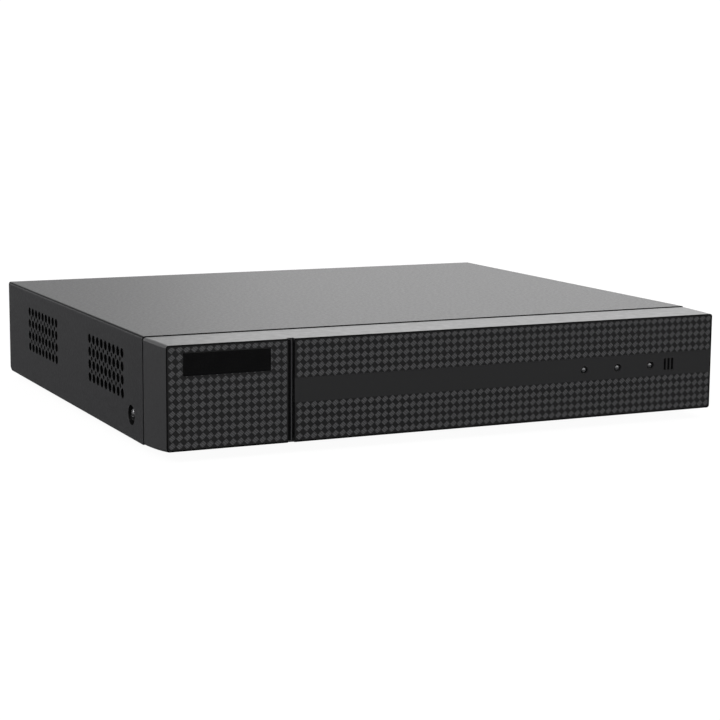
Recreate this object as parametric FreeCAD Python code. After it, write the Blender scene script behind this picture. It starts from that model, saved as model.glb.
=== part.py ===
"""Compact four-channel video recorder: sheet-steel case, plastic front, main board with rear sockets,
3.5 inch disk drive and side fan.  Millimetres, +X to the right seen from the front, +Y to the back, +Z up.
The origin is the middle of the footprint, on the surface that the feet stand on."""
import FreeCAD, Part
import math
import os

Vector = FreeCAD.Vector
X_AXIS, Y_AXIS, Z_AXIS = Vector(1, 0, 0), Vector(0, 1, 0), Vector(0, 0, 1)
SIDES = (-1, 1)

# ---------------------------------------------------------------- driving dimensions
WIDTH = 260.0
DEPTH = 240.0            # front face to the tips of the rear sockets
HEIGHT = 47.5            # feet included
CASE_DEPTH = 232.0       # front face to the back of the cover
BEZEL_DEPTH = 23.4
FOOT_HEIGHT = 3.2
SHEET = 1.0              # steel sheet
BOARD_SHEET = 1.6
PAST = 1.0               # how far a cutting shape runs past the face it opens
TOUCH = 0.2              # how far shapes that become one solid reach into each other
CLEAR = 0.05              # between two sub-parts that fit together

FRONT = -DEPTH / 2
SEAM = FRONT + BEZEL_DEPTH
BACK = FRONT + CASE_DEPTH
TIPS = DEPTH / 2
UNDERSIDE = FOOT_HEIGHT
FLOOR = UNDERSIDE + SHEET

# cover
COVER_GAP = 1.1
COVER_FRONT = SEAM + COVER_GAP
BEND, BEND_INSIDE = 1.1, 0.3
SIDE_LIP, TOP_LIP = 8.0, 7.0
VENT_PITCH = 5.65
VENT_COLUMNS, VENT_ROWS = 9, 4
VENT_HOLE, VENT_SMALL_HOLE = 2.06, 0.98
VENT_CENTRES = (FRONT + 73.4, FRONT + 170.4)
VENT_Z = UNDERSIDE + 25.4
SIDE_SCREW_Y, SIDE_SCREW_Z = FRONT + 39.3, UNDERSIDE + 9.75
DIMPLE_RADIUS, DIMPLE_DEPTH, DIMPLE_SLOPE = 4.0, 1.4, 0.3
LIP_SCREW_X, LIP_SCREW_Z = (-84.0, 0.0, 84.0), HEIGHT - 3.6
SCREW_SHANK, SCREW_CLEAR = 1.5, 1.7

# tray
TRAY_X = 127.2
REAR_OUT = BACK - SHEET - 0.3
REAR_IN = REAR_OUT - SHEET
WALL_FRONT = SEAM + 1.0
FLANGE_TOP = UNDERSIDE + 6.5
SLOT_HALF = 1.8
FOOT_X, FOOT_RADIUS = 108.0, 7.0
FOOT_Y = (FRONT + 40.0, BACK - 24.0)

# front
BEZEL_WALL, BEZEL_FRONT_WALL = 2.0, 3.2
BEZEL_TAPER, BEZEL_DROP, BEZEL_RISE = 1.5, 0.6, 1.3
SEAM_DROP = 0.35         # the bezel starts this much below the cover
PLATE, PLATE_SINK, PLATE_GAP = 1.2, 0.2, 0.12
PLATE_EDGE = WIDTH / 2 - BEZEL_TAPER - 0.5
PLATE_Z = (UNDERSIDE + BEZEL_RISE + 0.6, HEIGHT - BEZEL_DROP - 0.6)
GROOVE_X, GROOVE_DEPTH = (-77.0, -73.9), 2.0
BADGE_X, BADGE_Z = (-121.3, -84.5), (UNDERSIDE + 31.3, UNDERSIDE + 40.5)
BADGE, BADGE_SINK = 0.8, 0.05
BAND_Z, BAND_SINK = (UNDERSIDE + 17.6, UNDERSIDE + 27.6), 0.07
LAMP_X, LAMP_Z = [62.4 + 17.0 * n for n in range(3)], UNDERSIDE + 22.4
BUZZER_X = 105.9
LEFT_PLATE_X = (-PLATE_EDGE, GROOVE_X[0])
RIGHT_PLATE_X = (GROOVE_X[1], PLATE_EDGE)
FRONT_BOARD_Y, FRONT_BOARD_THICK = FRONT + 9.0, 1.2
FRONT_BOARD_X, FRONT_BOARD_HALF = (50.0, 117.5), 8.0
FRONT_BOARD_SCREWS_X = (53.4, 113.8)
PIPE_RADIUS = 1.35
CLIP_X, CLIP_HALF, CLIP_THICK, CLIP_HOOK = (-104.0, -38.0, 38.0, 92.0), 4.0, 1.6, 0.8
CLIP_Z = (UNDERSIDE + 36.5, UNDERSIDE + 5.5)     # lower faces of the upper and lower clips

# main board
BOARD_Z = FLOOR + 5.0
BOARD_TOP = BOARD_Z + BOARD_SHEET
BOARD_BACK = REAR_IN - 1.5
STANDOFFS = ((-106, 37), (-40, 37), (-76, 96), (30, 80), (116, 37), (59, -24), (104, -24))
CHIP = 1.6
HEATSINK_CENTRE, HEATSINK_SIDE, HEATSINK_HEIGHT = (78.0, 8.0), 38.0, 14.0
# open-topped headers for the drive's data and power, the fan and the front board:
# middle, width, depth and height
HEADERS = ((44.0, 40.0, 14.0, 5.0, 7.5), (28.0, 40.0, 12.0, 6.0, 7.5), (104.0, 24.0, 6.0, 5.0, 5.0),
           (103.5, -8.0, 9.0, 5.0, 5.0))
HEADER_WALL, HEADER_FLOOR = 0.8, 1.5
MEMORY_X, MEMORY_Y = (68.0, 82.0), -20.0
CANS, CAN_RADIUS, CAN_HEIGHT = ((-104, 52), (-104, 62), (-78, 56), (-66, 46)), 4.0, 10.5
COIL_X, COIL_Y, COIL_SIDE, COIL_HEIGHT = (-92.0, -79.0), 68.0, 10.0, 4.8
CELL, CELL_RADIUS, CELL_HEIGHT = (-20.0, 56.0), 10.0, 3.2

# screws: head radius, head height, shank radius, shank length
BOARD_SCREW, PANEL_SCREW = (2.9, 1.9, 1.25, 5.5), (2.2, 1.5, 0.9, 5.0)
EARTH_SCREW = (3.4, 2.2, SCREW_SHANK, 6.0)
DRIVE_SCREW, REAR_SCREW = (3.2, 1.6, 1.7, 5.5), (2.9, 1.8, 1.45, 5.0)

# rear sockets, as places along the back and heights of their middles
SOCKET_FRONT = REAR_IN - 16.0
VIDEO_X, VIDEO_Z = [112.0 - 18.0 * n for n in range(4)], BOARD_TOP + 8.4
AUDIO_X, AUDIO_Z = 38.0, (BOARD_TOP + 7.4, BOARD_TOP + 21.0)
VGA_X, VGA_Z = 12.0, BOARD_TOP + 6.6
HDMI_X, HDMI_Z = -16.0, BOARD_TOP + 3.3
LAN_X, USB_X = -38.0, -62.0
POWER_X, POWER_Z = -88.0, BOARD_TOP + 6.4
GROUND_X, GROUND_Z = -112.0, BOARD_TOP + 6.4
VIDEO_BARREL, VIDEO_THREAD = 4.8, 6.2
AUDIO_SHELL = 4.15
VGA_SIZE, VGA_WALL, VGA_SCREW_OUT = (15.9, 14.3, 7.3, 1.3), 0.5, 12.5
HDMI_SIZE, HDMI_WALL = (14.2, 12.4, 5.2, 0.6), 0.4
LAN_SIZE, LAN_WALL = (16.2, 13.5), 0.4
USB_SIZE = (13.9, 16.0)
POWER_SIZE = (9.0, 11.0)
WALL_CLEAR = 0.3         # between a socket and the edge of its opening in the back wall
LAN_ROOM_X, LAN_ROOM_Z = (LAN_X - 5.95, LAN_X + 5.95), (BOARD_TOP + 3.4, BOARD_TOP + 10.6)
LAN_ROOM_DEPTH = 13.5

# disk drive, lying with its sockets towards +X; its size and screw places are the 3.5 inch standard's
DRIVE_X, DRIVE_Y = (-118.0, 29.0), (-78.0, 23.6)
DRIVE_Z = (FLOOR + 3.0, FLOOR + 3.0 + 26.1)
DRIVE_MIDDLE = (DRIVE_Y[0] + DRIVE_Y[1]) / 2
DRIVE_LID = 1.6
DRIVE_FLOOR = DRIVE_Z[0] + 6.5
DRIVE_SCREWS = [(x, DRIVE_MIDDLE + side * 47.63) for x in (DRIVE_X[1] - 41.28, DRIVE_X[1] - 85.73)
                for side in SIDES]
SPINDLE = (DRIVE_X[0] + 51.3, DRIVE_MIDDLE)
PLATTER_RADIUS, PLATTERS_Z = 47.5, (DRIVE_FLOOR + 4.0, DRIVE_FLOOR + 10.0)
PIVOT = (SPINDLE[0] + 51.7, SPINDLE[1] - 24.1)
POST, POST_BORE = 3.0, 3.05
DRIVE_BOARD_X, DRIVE_BOARD_INSET = (-60.0, DRIVE_X[1] - 9.0), 10.0
DRIVE_SOCKET_Y, DRIVE_SOCKET_X = (-46.0, 0.0), (DRIVE_X[1] - 8.6, DRIVE_X[1] - 0.2)
DRIVE_SLOTS_Y = ((-12.0, -2.0), (-40.0, -18.0))

# fan, blowing out through the right-hand vents
FAN_SIDE, FAN_DEPTH, FAN_HOLE_PITCH = 40.0, 10.0, 16.0
FAN_Y, FAN_Z = VENT_CENTRES[0], FLOOR + 20.8
BRACKET_X = (122.4, 123.4)

# plugs on the leads
PLUG_HEAD = 6.0
SIDE_PLUG_X = (DRIVE_X[1] - 0.1, DRIVE_X[1] + 9.0)
DATA_PLUG_Y, POWER_PLUG_Y = (-13.0, -1.0), (-41.0, -17.0)
DATA_PLUG_Z, POWER_PLUG_Z = (DRIVE_Z[0] + 0.4, DRIVE_Z[0] + 5.0), (DRIVE_Z[0] + 0.2, DRIVE_Z[0] + 5.2)


# ---------------------------------------------------------------- shapes that many pieces use
def block(x, y, z):
    """A box between low and high places on each axis."""
    return Part.makeBox(x[1] - x[0], y[1] - y[0], z[1] - z[0], Vector(x[0], y[0], z[0]))


def centred(x, y, z, wide, deep, tall):
    """A box by the middle of its foot."""
    return block((x - wide / 2, x + wide / 2), (y - deep / 2, y + deep / 2), (z, z + tall))


def behind(x, z, wide, tall, front, back):
    """A box along Y by the middle of its width and its lowest height."""
    return block((x - wide / 2, x + wide / 2), (front, back), (z, z + tall))


def rod(radius, start, axis, length):
    return Part.makeCylinder(radius, length, Vector(*start), axis)


def ring(outer, inner, start, axis, length):
    return rod(outer, start, axis, length).cut(rod(inner, start, axis, length))


def hexagon(across_flats, start, length):
    """A hexagonal bar along +Y."""
    radius = across_flats / math.sqrt(3)
    corners = []
    for n in range(7):
        angle = math.radians(60 * n)
        corners.append(Vector(start[0] + radius * math.cos(angle), start[1],
                              start[2] + radius * math.sin(angle)))
    return Part.Face(Part.makePolygon(corners)).extrude(Y_AXIS * length)


def outline(points, direction):
    """A flat closed outline pushed along a direction."""
    corners = [Vector(*p) for p in points]
    return Part.Face(Part.makePolygon(corners + corners[:1])).extrude(Vector(*direction))


def same(a, b):
    return abs(a - b) < 1e-6


def edges_on(shape, **planes):
    """The edges whose ends all lie on the named planes, such as x=3.0."""
    return [edge for edge in shape.Edges
            if all(same(getattr(end.Point, axis), place) for end in edge.Vertexes
                   for axis, place in planes.items())]


def edges_as_long(shape, length):
    return [edge for edge in shape.Edges if same(edge.Length, length)]


def fillet(shape, radius, *places):
    return shape.makeFillet(radius, [edge for planes in places for edge in edges_on(shape, **planes)])


def screw(point, axis, head_radius, head_height, shank_radius, shank_length):
    """A pan-head screw with a cross recess.  point is under the head, and axis runs up to the head."""
    rounding = min(0.7, head_height * 0.45)
    reach, arm_half, recess_depth = head_radius * 0.55, head_radius * 0.12, head_height * 0.6
    axis, point = Vector(*axis), Vector(*point)
    head = Part.makeCylinder(head_radius, head_height, point, axis)
    top = point + axis * head_height
    rim = [edge for edge in head.Edges
           if isinstance(edge.Curve, Part.Circle) and same((edge.Curve.Center - top).Length, 0)]
    head = head.makeFillet(rounding, rim)
    shank = Part.makeCylinder(shank_radius, shank_length, point, -axis)
    across = axis.cross(Z_AXIS if same(axis.z, 0) else X_AXIS)
    recess = []
    for arm in (across, axis.cross(across)):
        side = axis.cross(arm)
        corners = [top - axis * recess_depth + arm * (reach * a) + side * (arm_half * b)
                   for a, b in ((-1, -1), (1, -1), (1, 1), (-1, 1), (-1, -1))]
        recess.append(Part.Face(Part.makePolygon(corners)).extrude(axis * head_height))
    return head.fuse(shank).cut(recess).removeSplitter()


def lead(points, radius):
    """A round lead along straight runs joined by tangent arcs, each as large as its two runs allow."""
    share = 0.45
    corners = [Vector(*p) for p in points]
    edges, radii, start = [], [], corners[0]
    for before, corner, after in zip(corners, corners[1:], corners[2:]):
        into, out = (before - corner), (after - corner)
        reach = share * min(into.Length, out.Length)
        into.normalize()
        out.normalize()
        half_angle = math.acos(max(-1.0, min(1.0, into.dot(out)))) / 2
        bend_radius = reach * math.tan(half_angle)
        middle = corner + (into + out).normalize() * (bend_radius / math.sin(half_angle) - bend_radius)
        first, last = corner + into * reach, corner + out * reach
        edges += [Part.LineSegment(start, first).toShape(), Part.Arc(first, middle, last).toShape()]
        start = last
        radii.append(bend_radius)
    edges.append(Part.LineSegment(start, corners[-1]).toShape())
    path = Part.Wire(edges)
    section = Part.Wire(Part.makeCircle(radius, corners[0], corners[1] - corners[0]))
    tube = path.makePipeShell([section], True, False)
    expected = math.pi * radius ** 2 * path.Length
    print("lead %.0f mm long, volume ratio %.3f, radii" % (path.Length, tube.Volume / expected),
          ["%.0f" % r for r in radii])
    return tube


def save(name, *solids):
    """Writes one sub-part, made of one or more separate solids."""
    shape = solids[0] if len(solids) == 1 else Part.makeCompound(list(solids))
    assert shape.isValid() and shape.Volume > 0 and len(shape.Solids) == len(solids), name
    shape.exportStep("parts/%s.step" % name)


# ---------------------------------------------------------------- case
def vent_tools(radius, columns, rows):
    """Drills that cross the whole case, so that both sides get the same holes."""
    drills = []
    for centre in VENT_CENTRES:
        for column in range(columns):
            for row in range(rows):
                y = centre + (column - (columns - 1) / 2) * VENT_PITCH
                z = VENT_Z + (row - (rows - 1) / 2) * VENT_PITCH
                drills.append(rod(radius, (-WIDTH, y, z), X_AXIS, 2 * WIDTH))
    return drills


def bent_box(half_width, front, back, bottom, top, radius):
    box = block((-half_width, half_width), (front, back), (bottom, top))
    return fillet(box, radius, {"x": -half_width, "z": top}, {"x": half_width, "z": top},
                  {"x": -half_width, "y": back}, {"x": half_width, "y": back}, {"y": back, "z": top})


def top_cover():
    """U-shaped cover: the top, two sides with vents, and narrow lips folded in across the back."""
    dimple_wall, lower_corner, lip_reach = 0.9, 4.5, 3.0
    outer = bent_box(WIDTH / 2, COVER_FRONT, BACK, UNDERSIDE, HEIGHT, BEND)
    inner = bent_box(WIDTH / 2 - SHEET, COVER_FRONT - PAST, BACK - SHEET, UNDERSIDE - PAST,
                     HEIGHT - SHEET, BEND_INSIDE)
    through_lips = (BACK - lip_reach, BACK + PAST)
    opening = block((-WIDTH / 2 + SIDE_LIP, WIDTH / 2 - SIDE_LIP), through_lips,
                    (UNDERSIDE - PAST, HEIGHT - TOP_LIP))
    cover = outer.cut([inner, opening])
    for side in SIDES:
        inward = Vector(-side, 0, 0)
        boss_start = side * (WIDTH / 2 - SHEET + TOUCH)
        cover = cover.fuse(rod(DIMPLE_RADIUS + dimple_wall, (boss_start, SIDE_SCREW_Y, SIDE_SCREW_Z),
                               inward,
                               DIMPLE_DEPTH + TOUCH))
        dimple = Part.makeCone(DIMPLE_RADIUS + DIMPLE_SLOPE, DIMPLE_RADIUS - DIMPLE_SLOPE, DIMPLE_DEPTH,
                               Vector(side * WIDTH / 2, SIDE_SCREW_Y, SIDE_SCREW_Z), inward)
        hole = rod(SCREW_CLEAR, (side * (WIDTH / 2 + PAST), SIDE_SCREW_Y, SIDE_SCREW_Z), inward,
                   2 * lip_reach)
        cover = cover.cut([dimple, hole])
    lip_holes = [rod(SCREW_CLEAR, (x, through_lips[0], LIP_SCREW_Z), Y_AXIS, lip_reach + PAST)
                 for x in LIP_SCREW_X]
    corner = block((-WIDTH, WIDTH), (BACK - lower_corner, BACK + PAST),
                   (UNDERSIDE - PAST, UNDERSIDE + lower_corner))
    corner = corner.cut(rod(lower_corner, (-WIDTH, BACK - lower_corner, UNDERSIDE + lower_corner), X_AXIS,
                            2 * WIDTH))
    vents = vent_tools(VENT_HOLE, VENT_COLUMNS, VENT_ROWS)
    vents += vent_tools(VENT_SMALL_HOLE, VENT_COLUMNS - 1, VENT_ROWS - 1)
    save("top_cover", cover.cut(lip_holes + [corner] + vents))


def cover_fasteners():
    """Two side screws in their dimples with square nuts behind the tray's ears, and three rear screws."""
    head, head_height, shank_length = 3.2, DIMPLE_DEPTH - 0.1, 4.7
    nut_side, nut_thick, nut_clear, nut_bore = 5.5, 2.0, 0.3, SCREW_SHANK + 0.02
    side_screws, nuts = [], []
    for side in SIDES:
        under_head = (side * (WIDTH / 2 - DIMPLE_DEPTH), SIDE_SCREW_Y, SIDE_SCREW_Z)
        side_screws.append(screw(under_head, (side, 0, 0), head, head_height, SCREW_SHANK, shank_length))
        nut_middle = side * (TRAY_X - SHEET - nut_clear - nut_thick / 2)
        nut = centred(nut_middle, SIDE_SCREW_Y, SIDE_SCREW_Z - nut_side / 2, nut_thick, nut_side, nut_side)
        bore = rod(nut_bore, (nut_middle - nut_thick, SIDE_SCREW_Y, SIDE_SCREW_Z), X_AXIS, 2 * nut_thick)
        nuts.append(nut.cut(bore))
    save("cover_side_screws", *side_screws)
    save("side_screw_nuts", *nuts)
    save("cover_rear_screws", *[screw((x, BACK, LIP_SCREW_Z), (0, 1, 0), *REAR_SCREW) for x in LIP_SCREW_X])


def trapezoid(x, y, z, wide, narrow, tall, length, corner):
    """A D-shaped bar along +Y, wide at the top, centred on x and z."""
    points = [(x - wide / 2, y, z + tall / 2), (x + wide / 2, y, z + tall / 2),
              (x + narrow / 2, y, z - tall / 2), (x - narrow / 2, y, z - tall / 2)]
    bar = outline(points, (0, length, 0))
    return bar.makeFillet(corner, edges_as_long(bar, length))


def grown_trapezoid(place, size, grow, length):
    """A D-shaped bar, thicker by grow on every side; size is its width, narrow width, height and corner."""
    wide, narrow, tall, corner = size
    return trapezoid(*place, wide + 2 * grow, narrow + 2 * grow, tall + 2 * grow, length, corner + grow)


def socket_openings():
    """The holes that the rear sockets need in the tray's back wall."""
    start, through = REAR_IN - PAST, SHEET + 2 * PAST
    holes = [rod(VIDEO_THREAD + WALL_CLEAR / 2, (x, start, VIDEO_Z), Y_AXIS, through) for x in VIDEO_X]
    holes += [rod(AUDIO_SHELL + WALL_CLEAR, (AUDIO_X, start, z), Y_AXIS, through) for z in AUDIO_Z]
    holes += [rod(SCREW_CLEAR, (VGA_X + side * VGA_SCREW_OUT, start, VGA_Z), Y_AXIS, through)
              for side in SIDES]
    holes.append(grown_trapezoid((VGA_X, start, VGA_Z), VGA_SIZE, VGA_WALL + WALL_CLEAR, through))
    holes.append(grown_trapezoid((HDMI_X, start, HDMI_Z), HDMI_SIZE, HDMI_WALL + WALL_CLEAR, through))
    for x, (wide, tall) in ((LAN_X, LAN_SIZE), (USB_X, USB_SIZE), (POWER_X, POWER_SIZE)):
        holes.append(behind(x, BOARD_TOP - WALL_CLEAR, wide + 2 * WALL_CLEAR, tall + 2 * WALL_CLEAR,
                            start, start + through))
    holes.append(rod(SCREW_SHANK + CLEAR, (GROUND_X, start, GROUND_Z), Y_AXIS, through))
    return holes


def base_tray():
    """Folded tray: floor, front and back walls, side flanges, screw ears, fan bracket and drive bosses."""
    wall_inset, wall_top, back_top = 3.4, HEIGHT - 2.0, HEIGHT - 1.4
    bracket_half, bracket_top, fan_opening = 21.0, HEIGHT - 1.8, 18.6
    ear_half, ear_rise, slot_length, notch_depth = 10.0, 9.0, 12.0, 4.4
    boss, boss_inside, screw_hole = 6.0, 4.8, 1.9
    notch_z = (FLANGE_TOP - 0.6, SIDE_SCREW_Z + 3.6)
    lead_slot_x, lead_slot_z = (96.0, 112.0), (UNDERSIDE + 10.5, UNDERSIDE + 20.5)
    slot_count, slot_pitch, slot_start, slot_wide, slot_long = 7, 15.0, -92.0, 4.0, 46.0
    parts = [block((-TRAY_X, TRAY_X), (WALL_FRONT, REAR_OUT), (UNDERSIDE, FLOOR)),
             block((-TRAY_X + wall_inset, TRAY_X - wall_inset), (WALL_FRONT, WALL_FRONT + SHEET),
                   (UNDERSIDE, wall_top)),
             block((-TRAY_X, TRAY_X), (REAR_IN, REAR_OUT), (UNDERSIDE, back_top)),
             block(BRACKET_X, (FAN_Y - bracket_half, FAN_Y + bracket_half), (UNDERSIDE, bracket_top))]
    cuts = socket_openings()
    for side in SIDES:
        wall = sorted((side * TRAY_X, side * (TRAY_X - SHEET)))
        through_wall = (side * TRAY_X - 2 * PAST, side * TRAY_X + 2 * PAST)
        parts.append(block(wall, (WALL_FRONT + wall_inset, REAR_OUT), (UNDERSIDE, FLANGE_TOP)))
        parts.append(block(wall, (SIDE_SCREW_Y - ear_half, SIDE_SCREW_Y + ear_half),
                           (UNDERSIDE, SIDE_SCREW_Z + ear_rise)))
        cuts.append(rod(SLOT_HALF, (through_wall[0], SIDE_SCREW_Y, SIDE_SCREW_Z), X_AXIS, 4 * PAST))
        cuts.append(block(through_wall, (SIDE_SCREW_Y, SIDE_SCREW_Y + slot_length),
                          (SIDE_SCREW_Z - SLOT_HALF, SIDE_SCREW_Z + SLOT_HALF)))
        notch = sorted((side * (TRAY_X - notch_depth), side * (TRAY_X + PAST)))
        cuts.append(block(notch, (REAR_IN - notch_depth, REAR_OUT + PAST), notch_z))
    for x, y in DRIVE_SCREWS:
        parts.append(rod(boss, (x, y, UNDERSIDE), Z_AXIS, DRIVE_Z[0] - UNDERSIDE))
        cuts.append(rod(boss_inside, (x, y, UNDERSIDE - PAST), Z_AXIS,
                        DRIVE_Z[0] - SHEET - UNDERSIDE + PAST))
        cuts.append(rod(screw_hole, (x, y, UNDERSIDE), Z_AXIS, DRIVE_Z[1] - UNDERSIDE))
    for y, z in fan_corners():
        cuts.append(rod(screw_hole, (BRACKET_X[0] - PAST, y, z), X_AXIS, SHEET + 2 * PAST))
    cuts.append(rod(fan_opening, (BRACKET_X[0] - PAST, FAN_Y, FAN_Z), X_AXIS, SHEET + 2 * PAST))
    cuts += [rod(SLOT_HALF, (x, REAR_IN - PAST, LIP_SCREW_Z), Y_AXIS, SHEET + 2 * PAST)
             for x in LIP_SCREW_X]
    through_front = (WALL_FRONT - PAST, WALL_FRONT + SHEET + PAST)
    for x in CLIP_X:
        for low, hook_up in zip(CLIP_Z, (CLIP_HOOK, 0.0)):
            slot_low = low - WALL_CLEAR - CLIP_HOOK + hook_up
            cuts.append(block((x - CLIP_HALF - WALL_CLEAR, x + CLIP_HALF + WALL_CLEAR), through_front,
                              (slot_low, slot_low + CLIP_THICK + CLIP_HOOK + 2 * WALL_CLEAR)))
    cuts.append(block(lead_slot_x, through_front, lead_slot_z))
    for n in range(slot_count):
        cuts.append(centred(slot_start + slot_pitch * n, DRIVE_MIDDLE, UNDERSIDE - PAST, slot_wide,
                            slot_long,
                            SHEET + 2 * PAST))
    save("base_tray", parts[0].multiFuse(parts[1:]).cut(cuts).removeSplitter())


def feet():
    rounding = 0.7
    made = []
    for x in (-FOOT_X, FOOT_X):
        for y in FOOT_Y:
            foot = rod(FOOT_RADIUS, (x, y, 0), Z_AXIS, FOOT_HEIGHT)
            made.append(foot.makeFillet(rounding, edges_on(foot, z=0)))
    save("rubber_feet", *made)


# ---------------------------------------------------------------- front
def bezel_form(inset, front, back):
    """The bezel's closed form.  Its top and underside curve in towards the front, and its sides taper."""
    def edge(y, height, change):
        along = max(0.0, (SEAM - y) / BEZEL_DEPTH)
        return Vector(-WIDTH, y, height + change * along ** 2)

    low, high, closed_back = UNDERSIDE + inset, HEIGHT - SEAM_DROP - inset, min(back, SEAM)
    middle = (front + closed_back) / 2
    lower = [edge(y, low, BEZEL_RISE) for y in (closed_back, middle, front)]
    upper = [edge(y, high, SEAM_DROP - BEZEL_DROP) for y in (front, middle, closed_back)]
    sides = [Part.Arc(*lower).toShape(), Part.LineSegment(lower[2], upper[0]).toShape(),
             Part.Arc(*upper).toShape()]
    far = [upper[2], lower[0]]
    if back > SEAM:
        far = [upper[2], Vector(-WIDTH, back, high), Vector(-WIDTH, back, low), lower[0]]
    sides += [Part.LineSegment(a, b).toShape() for a, b in zip(far, far[1:])]
    profile = Part.Face(Part.Wire(sides)).extrude(Vector(2 * WIDTH, 0, 0))
    half_back, half_front = WIDTH / 2 - inset, WIDTH / 2 - inset - BEZEL_TAPER
    beyond = SEAM + BEZEL_DEPTH
    plan = outline([(-half_back, SEAM, 0), (-half_front, FRONT, 0), (half_front, FRONT, 0),
                    (half_back, SEAM, 0), (half_back, beyond, 0), (-half_back, beyond, 0)],
                    (0, 0, 2 * HEIGHT))
    return profile.common(plan)


def plate_blank(x, front, grow=0.0):
    """A face plate with rounded corners, or with grow the seat that it lies in."""
    corner = 0.8
    blank = block((x[0] - grow, x[1] + grow), (front, FRONT + PLATE),
                  (PLATE_Z[0] - grow, PLATE_Z[1] + grow))
    return blank.makeFillet(corner, edges_as_long(blank, FRONT + PLATE - front))


def front_bezel():
    """Moulded front: a hollow box, open behind, with seats for the face plates and clips to the tray."""
    side_corner, face_edge, clip_root, clip_reach = 1.2, 0.25, 12.0, 5.0
    post, post_bore, buzzer_opening = 2.6, 0.95, 3.7
    form = bezel_form(0.0, FRONT, SEAM)
    corners = [edge for edge in form.Edges
               if not same(abs(edge.Vertexes[0].X), abs(edge.Vertexes[-1].X))
               and abs(edge.Vertexes[0].Y - edge.Vertexes[-1].Y) > BEZEL_DEPTH / 2]
    form = form.makeFillet(side_corner, corners)
    form = form.makeFillet(face_edge, edges_on(form, y=FRONT))
    hollow = bezel_form(BEZEL_WALL, FRONT + BEZEL_FRONT_WALL, SEAM + PAST)
    cuts = [hollow, plate_blank(LEFT_PLATE_X, FRONT - PAST, PLATE_GAP),
            plate_blank(RIGHT_PLATE_X, FRONT - PAST, PLATE_GAP),
            block(GROOVE_X, (FRONT - PAST, FRONT + GROOVE_DEPTH), (0, HEIGHT))]
    cuts += [rod(PIPE_RADIUS + 0.15, (x, FRONT, LAMP_Z), Y_AXIS, 2 * BEZEL_FRONT_WALL) for x in LAMP_X]
    cuts.append(rod(buzzer_opening, (BUZZER_X, FRONT, LAMP_Z), Y_AXIS, 2 * BEZEL_FRONT_WALL))
    extras = []
    for x in CLIP_X:
        across = (x - CLIP_HALF, x + CLIP_HALF)
        for low, up in zip(CLIP_Z, (1, -1)):
            high = low + CLIP_THICK
            root = (high, HEIGHT - BEZEL_WALL + TOUCH) if up > 0 else (UNDERSIDE + BEZEL_WALL - TOUCH, low)
            hook = (high, high + CLIP_HOOK) if up > 0 else (low - CLIP_HOOK, low)
            extras.append(block(across, (SEAM - clip_root, SEAM - PAST), root))
            extras.append(block(across, (SEAM - clip_root, SEAM + clip_reach), (low, high)))
            extras.append(block(across, (WALL_FRONT + SHEET + 0.1, SEAM + clip_reach), hook))
    for x in FRONT_BOARD_SCREWS_X:
        wall_inside = FRONT + BEZEL_FRONT_WALL - TOUCH
        extras.append(ring(post, post_bore, (x, wall_inside, LAMP_Z), Y_AXIS, FRONT_BOARD_Y - wall_inside))
    save("front_bezel", form.cut(cuts).multiFuse(extras).removeSplitter())


def face_plates():
    """Two plates sunk a little behind the rim, a smooth raised band on the long one, and the badge."""
    badge_front, badge_rounding = FRONT + BADGE_SINK, 0.12
    lamp_hole, slot_wide, slot_tall, slot_pitch = PIPE_RADIUS + 0.3, 1.15, 5.2, 1.93
    plate_front = FRONT + PLATE_SINK
    badge_seat = block((BADGE_X[0] - PLATE_GAP, BADGE_X[1] + PLATE_GAP), (FRONT - PAST, FRONT + BADGE),
                       (BADGE_Z[0] - PLATE_GAP, BADGE_Z[1] + PLATE_GAP))
    save("left_faceplate", plate_blank(LEFT_PLATE_X, plate_front).cut(badge_seat))
    badge = block(BADGE_X, (badge_front, FRONT + BADGE), BADGE_Z)
    save("badge_plate", badge.makeFillet(badge_rounding, edges_on(badge, y=badge_front)))
    band = block(RIGHT_PLATE_X, (FRONT + BAND_SINK, plate_front + TOUCH), BAND_Z)
    plate = plate_blank(RIGHT_PLATE_X, plate_front).fuse(band).removeSplitter()
    cuts = [rod(lamp_hole, (x, FRONT - PAST, LAMP_Z), Y_AXIS, 2 * PLATE + PAST) for x in LAMP_X]
    for n in (-1, 0, 1):
        cuts.append(behind(BUZZER_X + slot_pitch * n, LAMP_Z - slot_tall / 2, slot_wide, slot_tall,
                           FRONT - PAST, FRONT + 2 * PLATE))
    save("right_faceplate", plate.cut(cuts))


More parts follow.
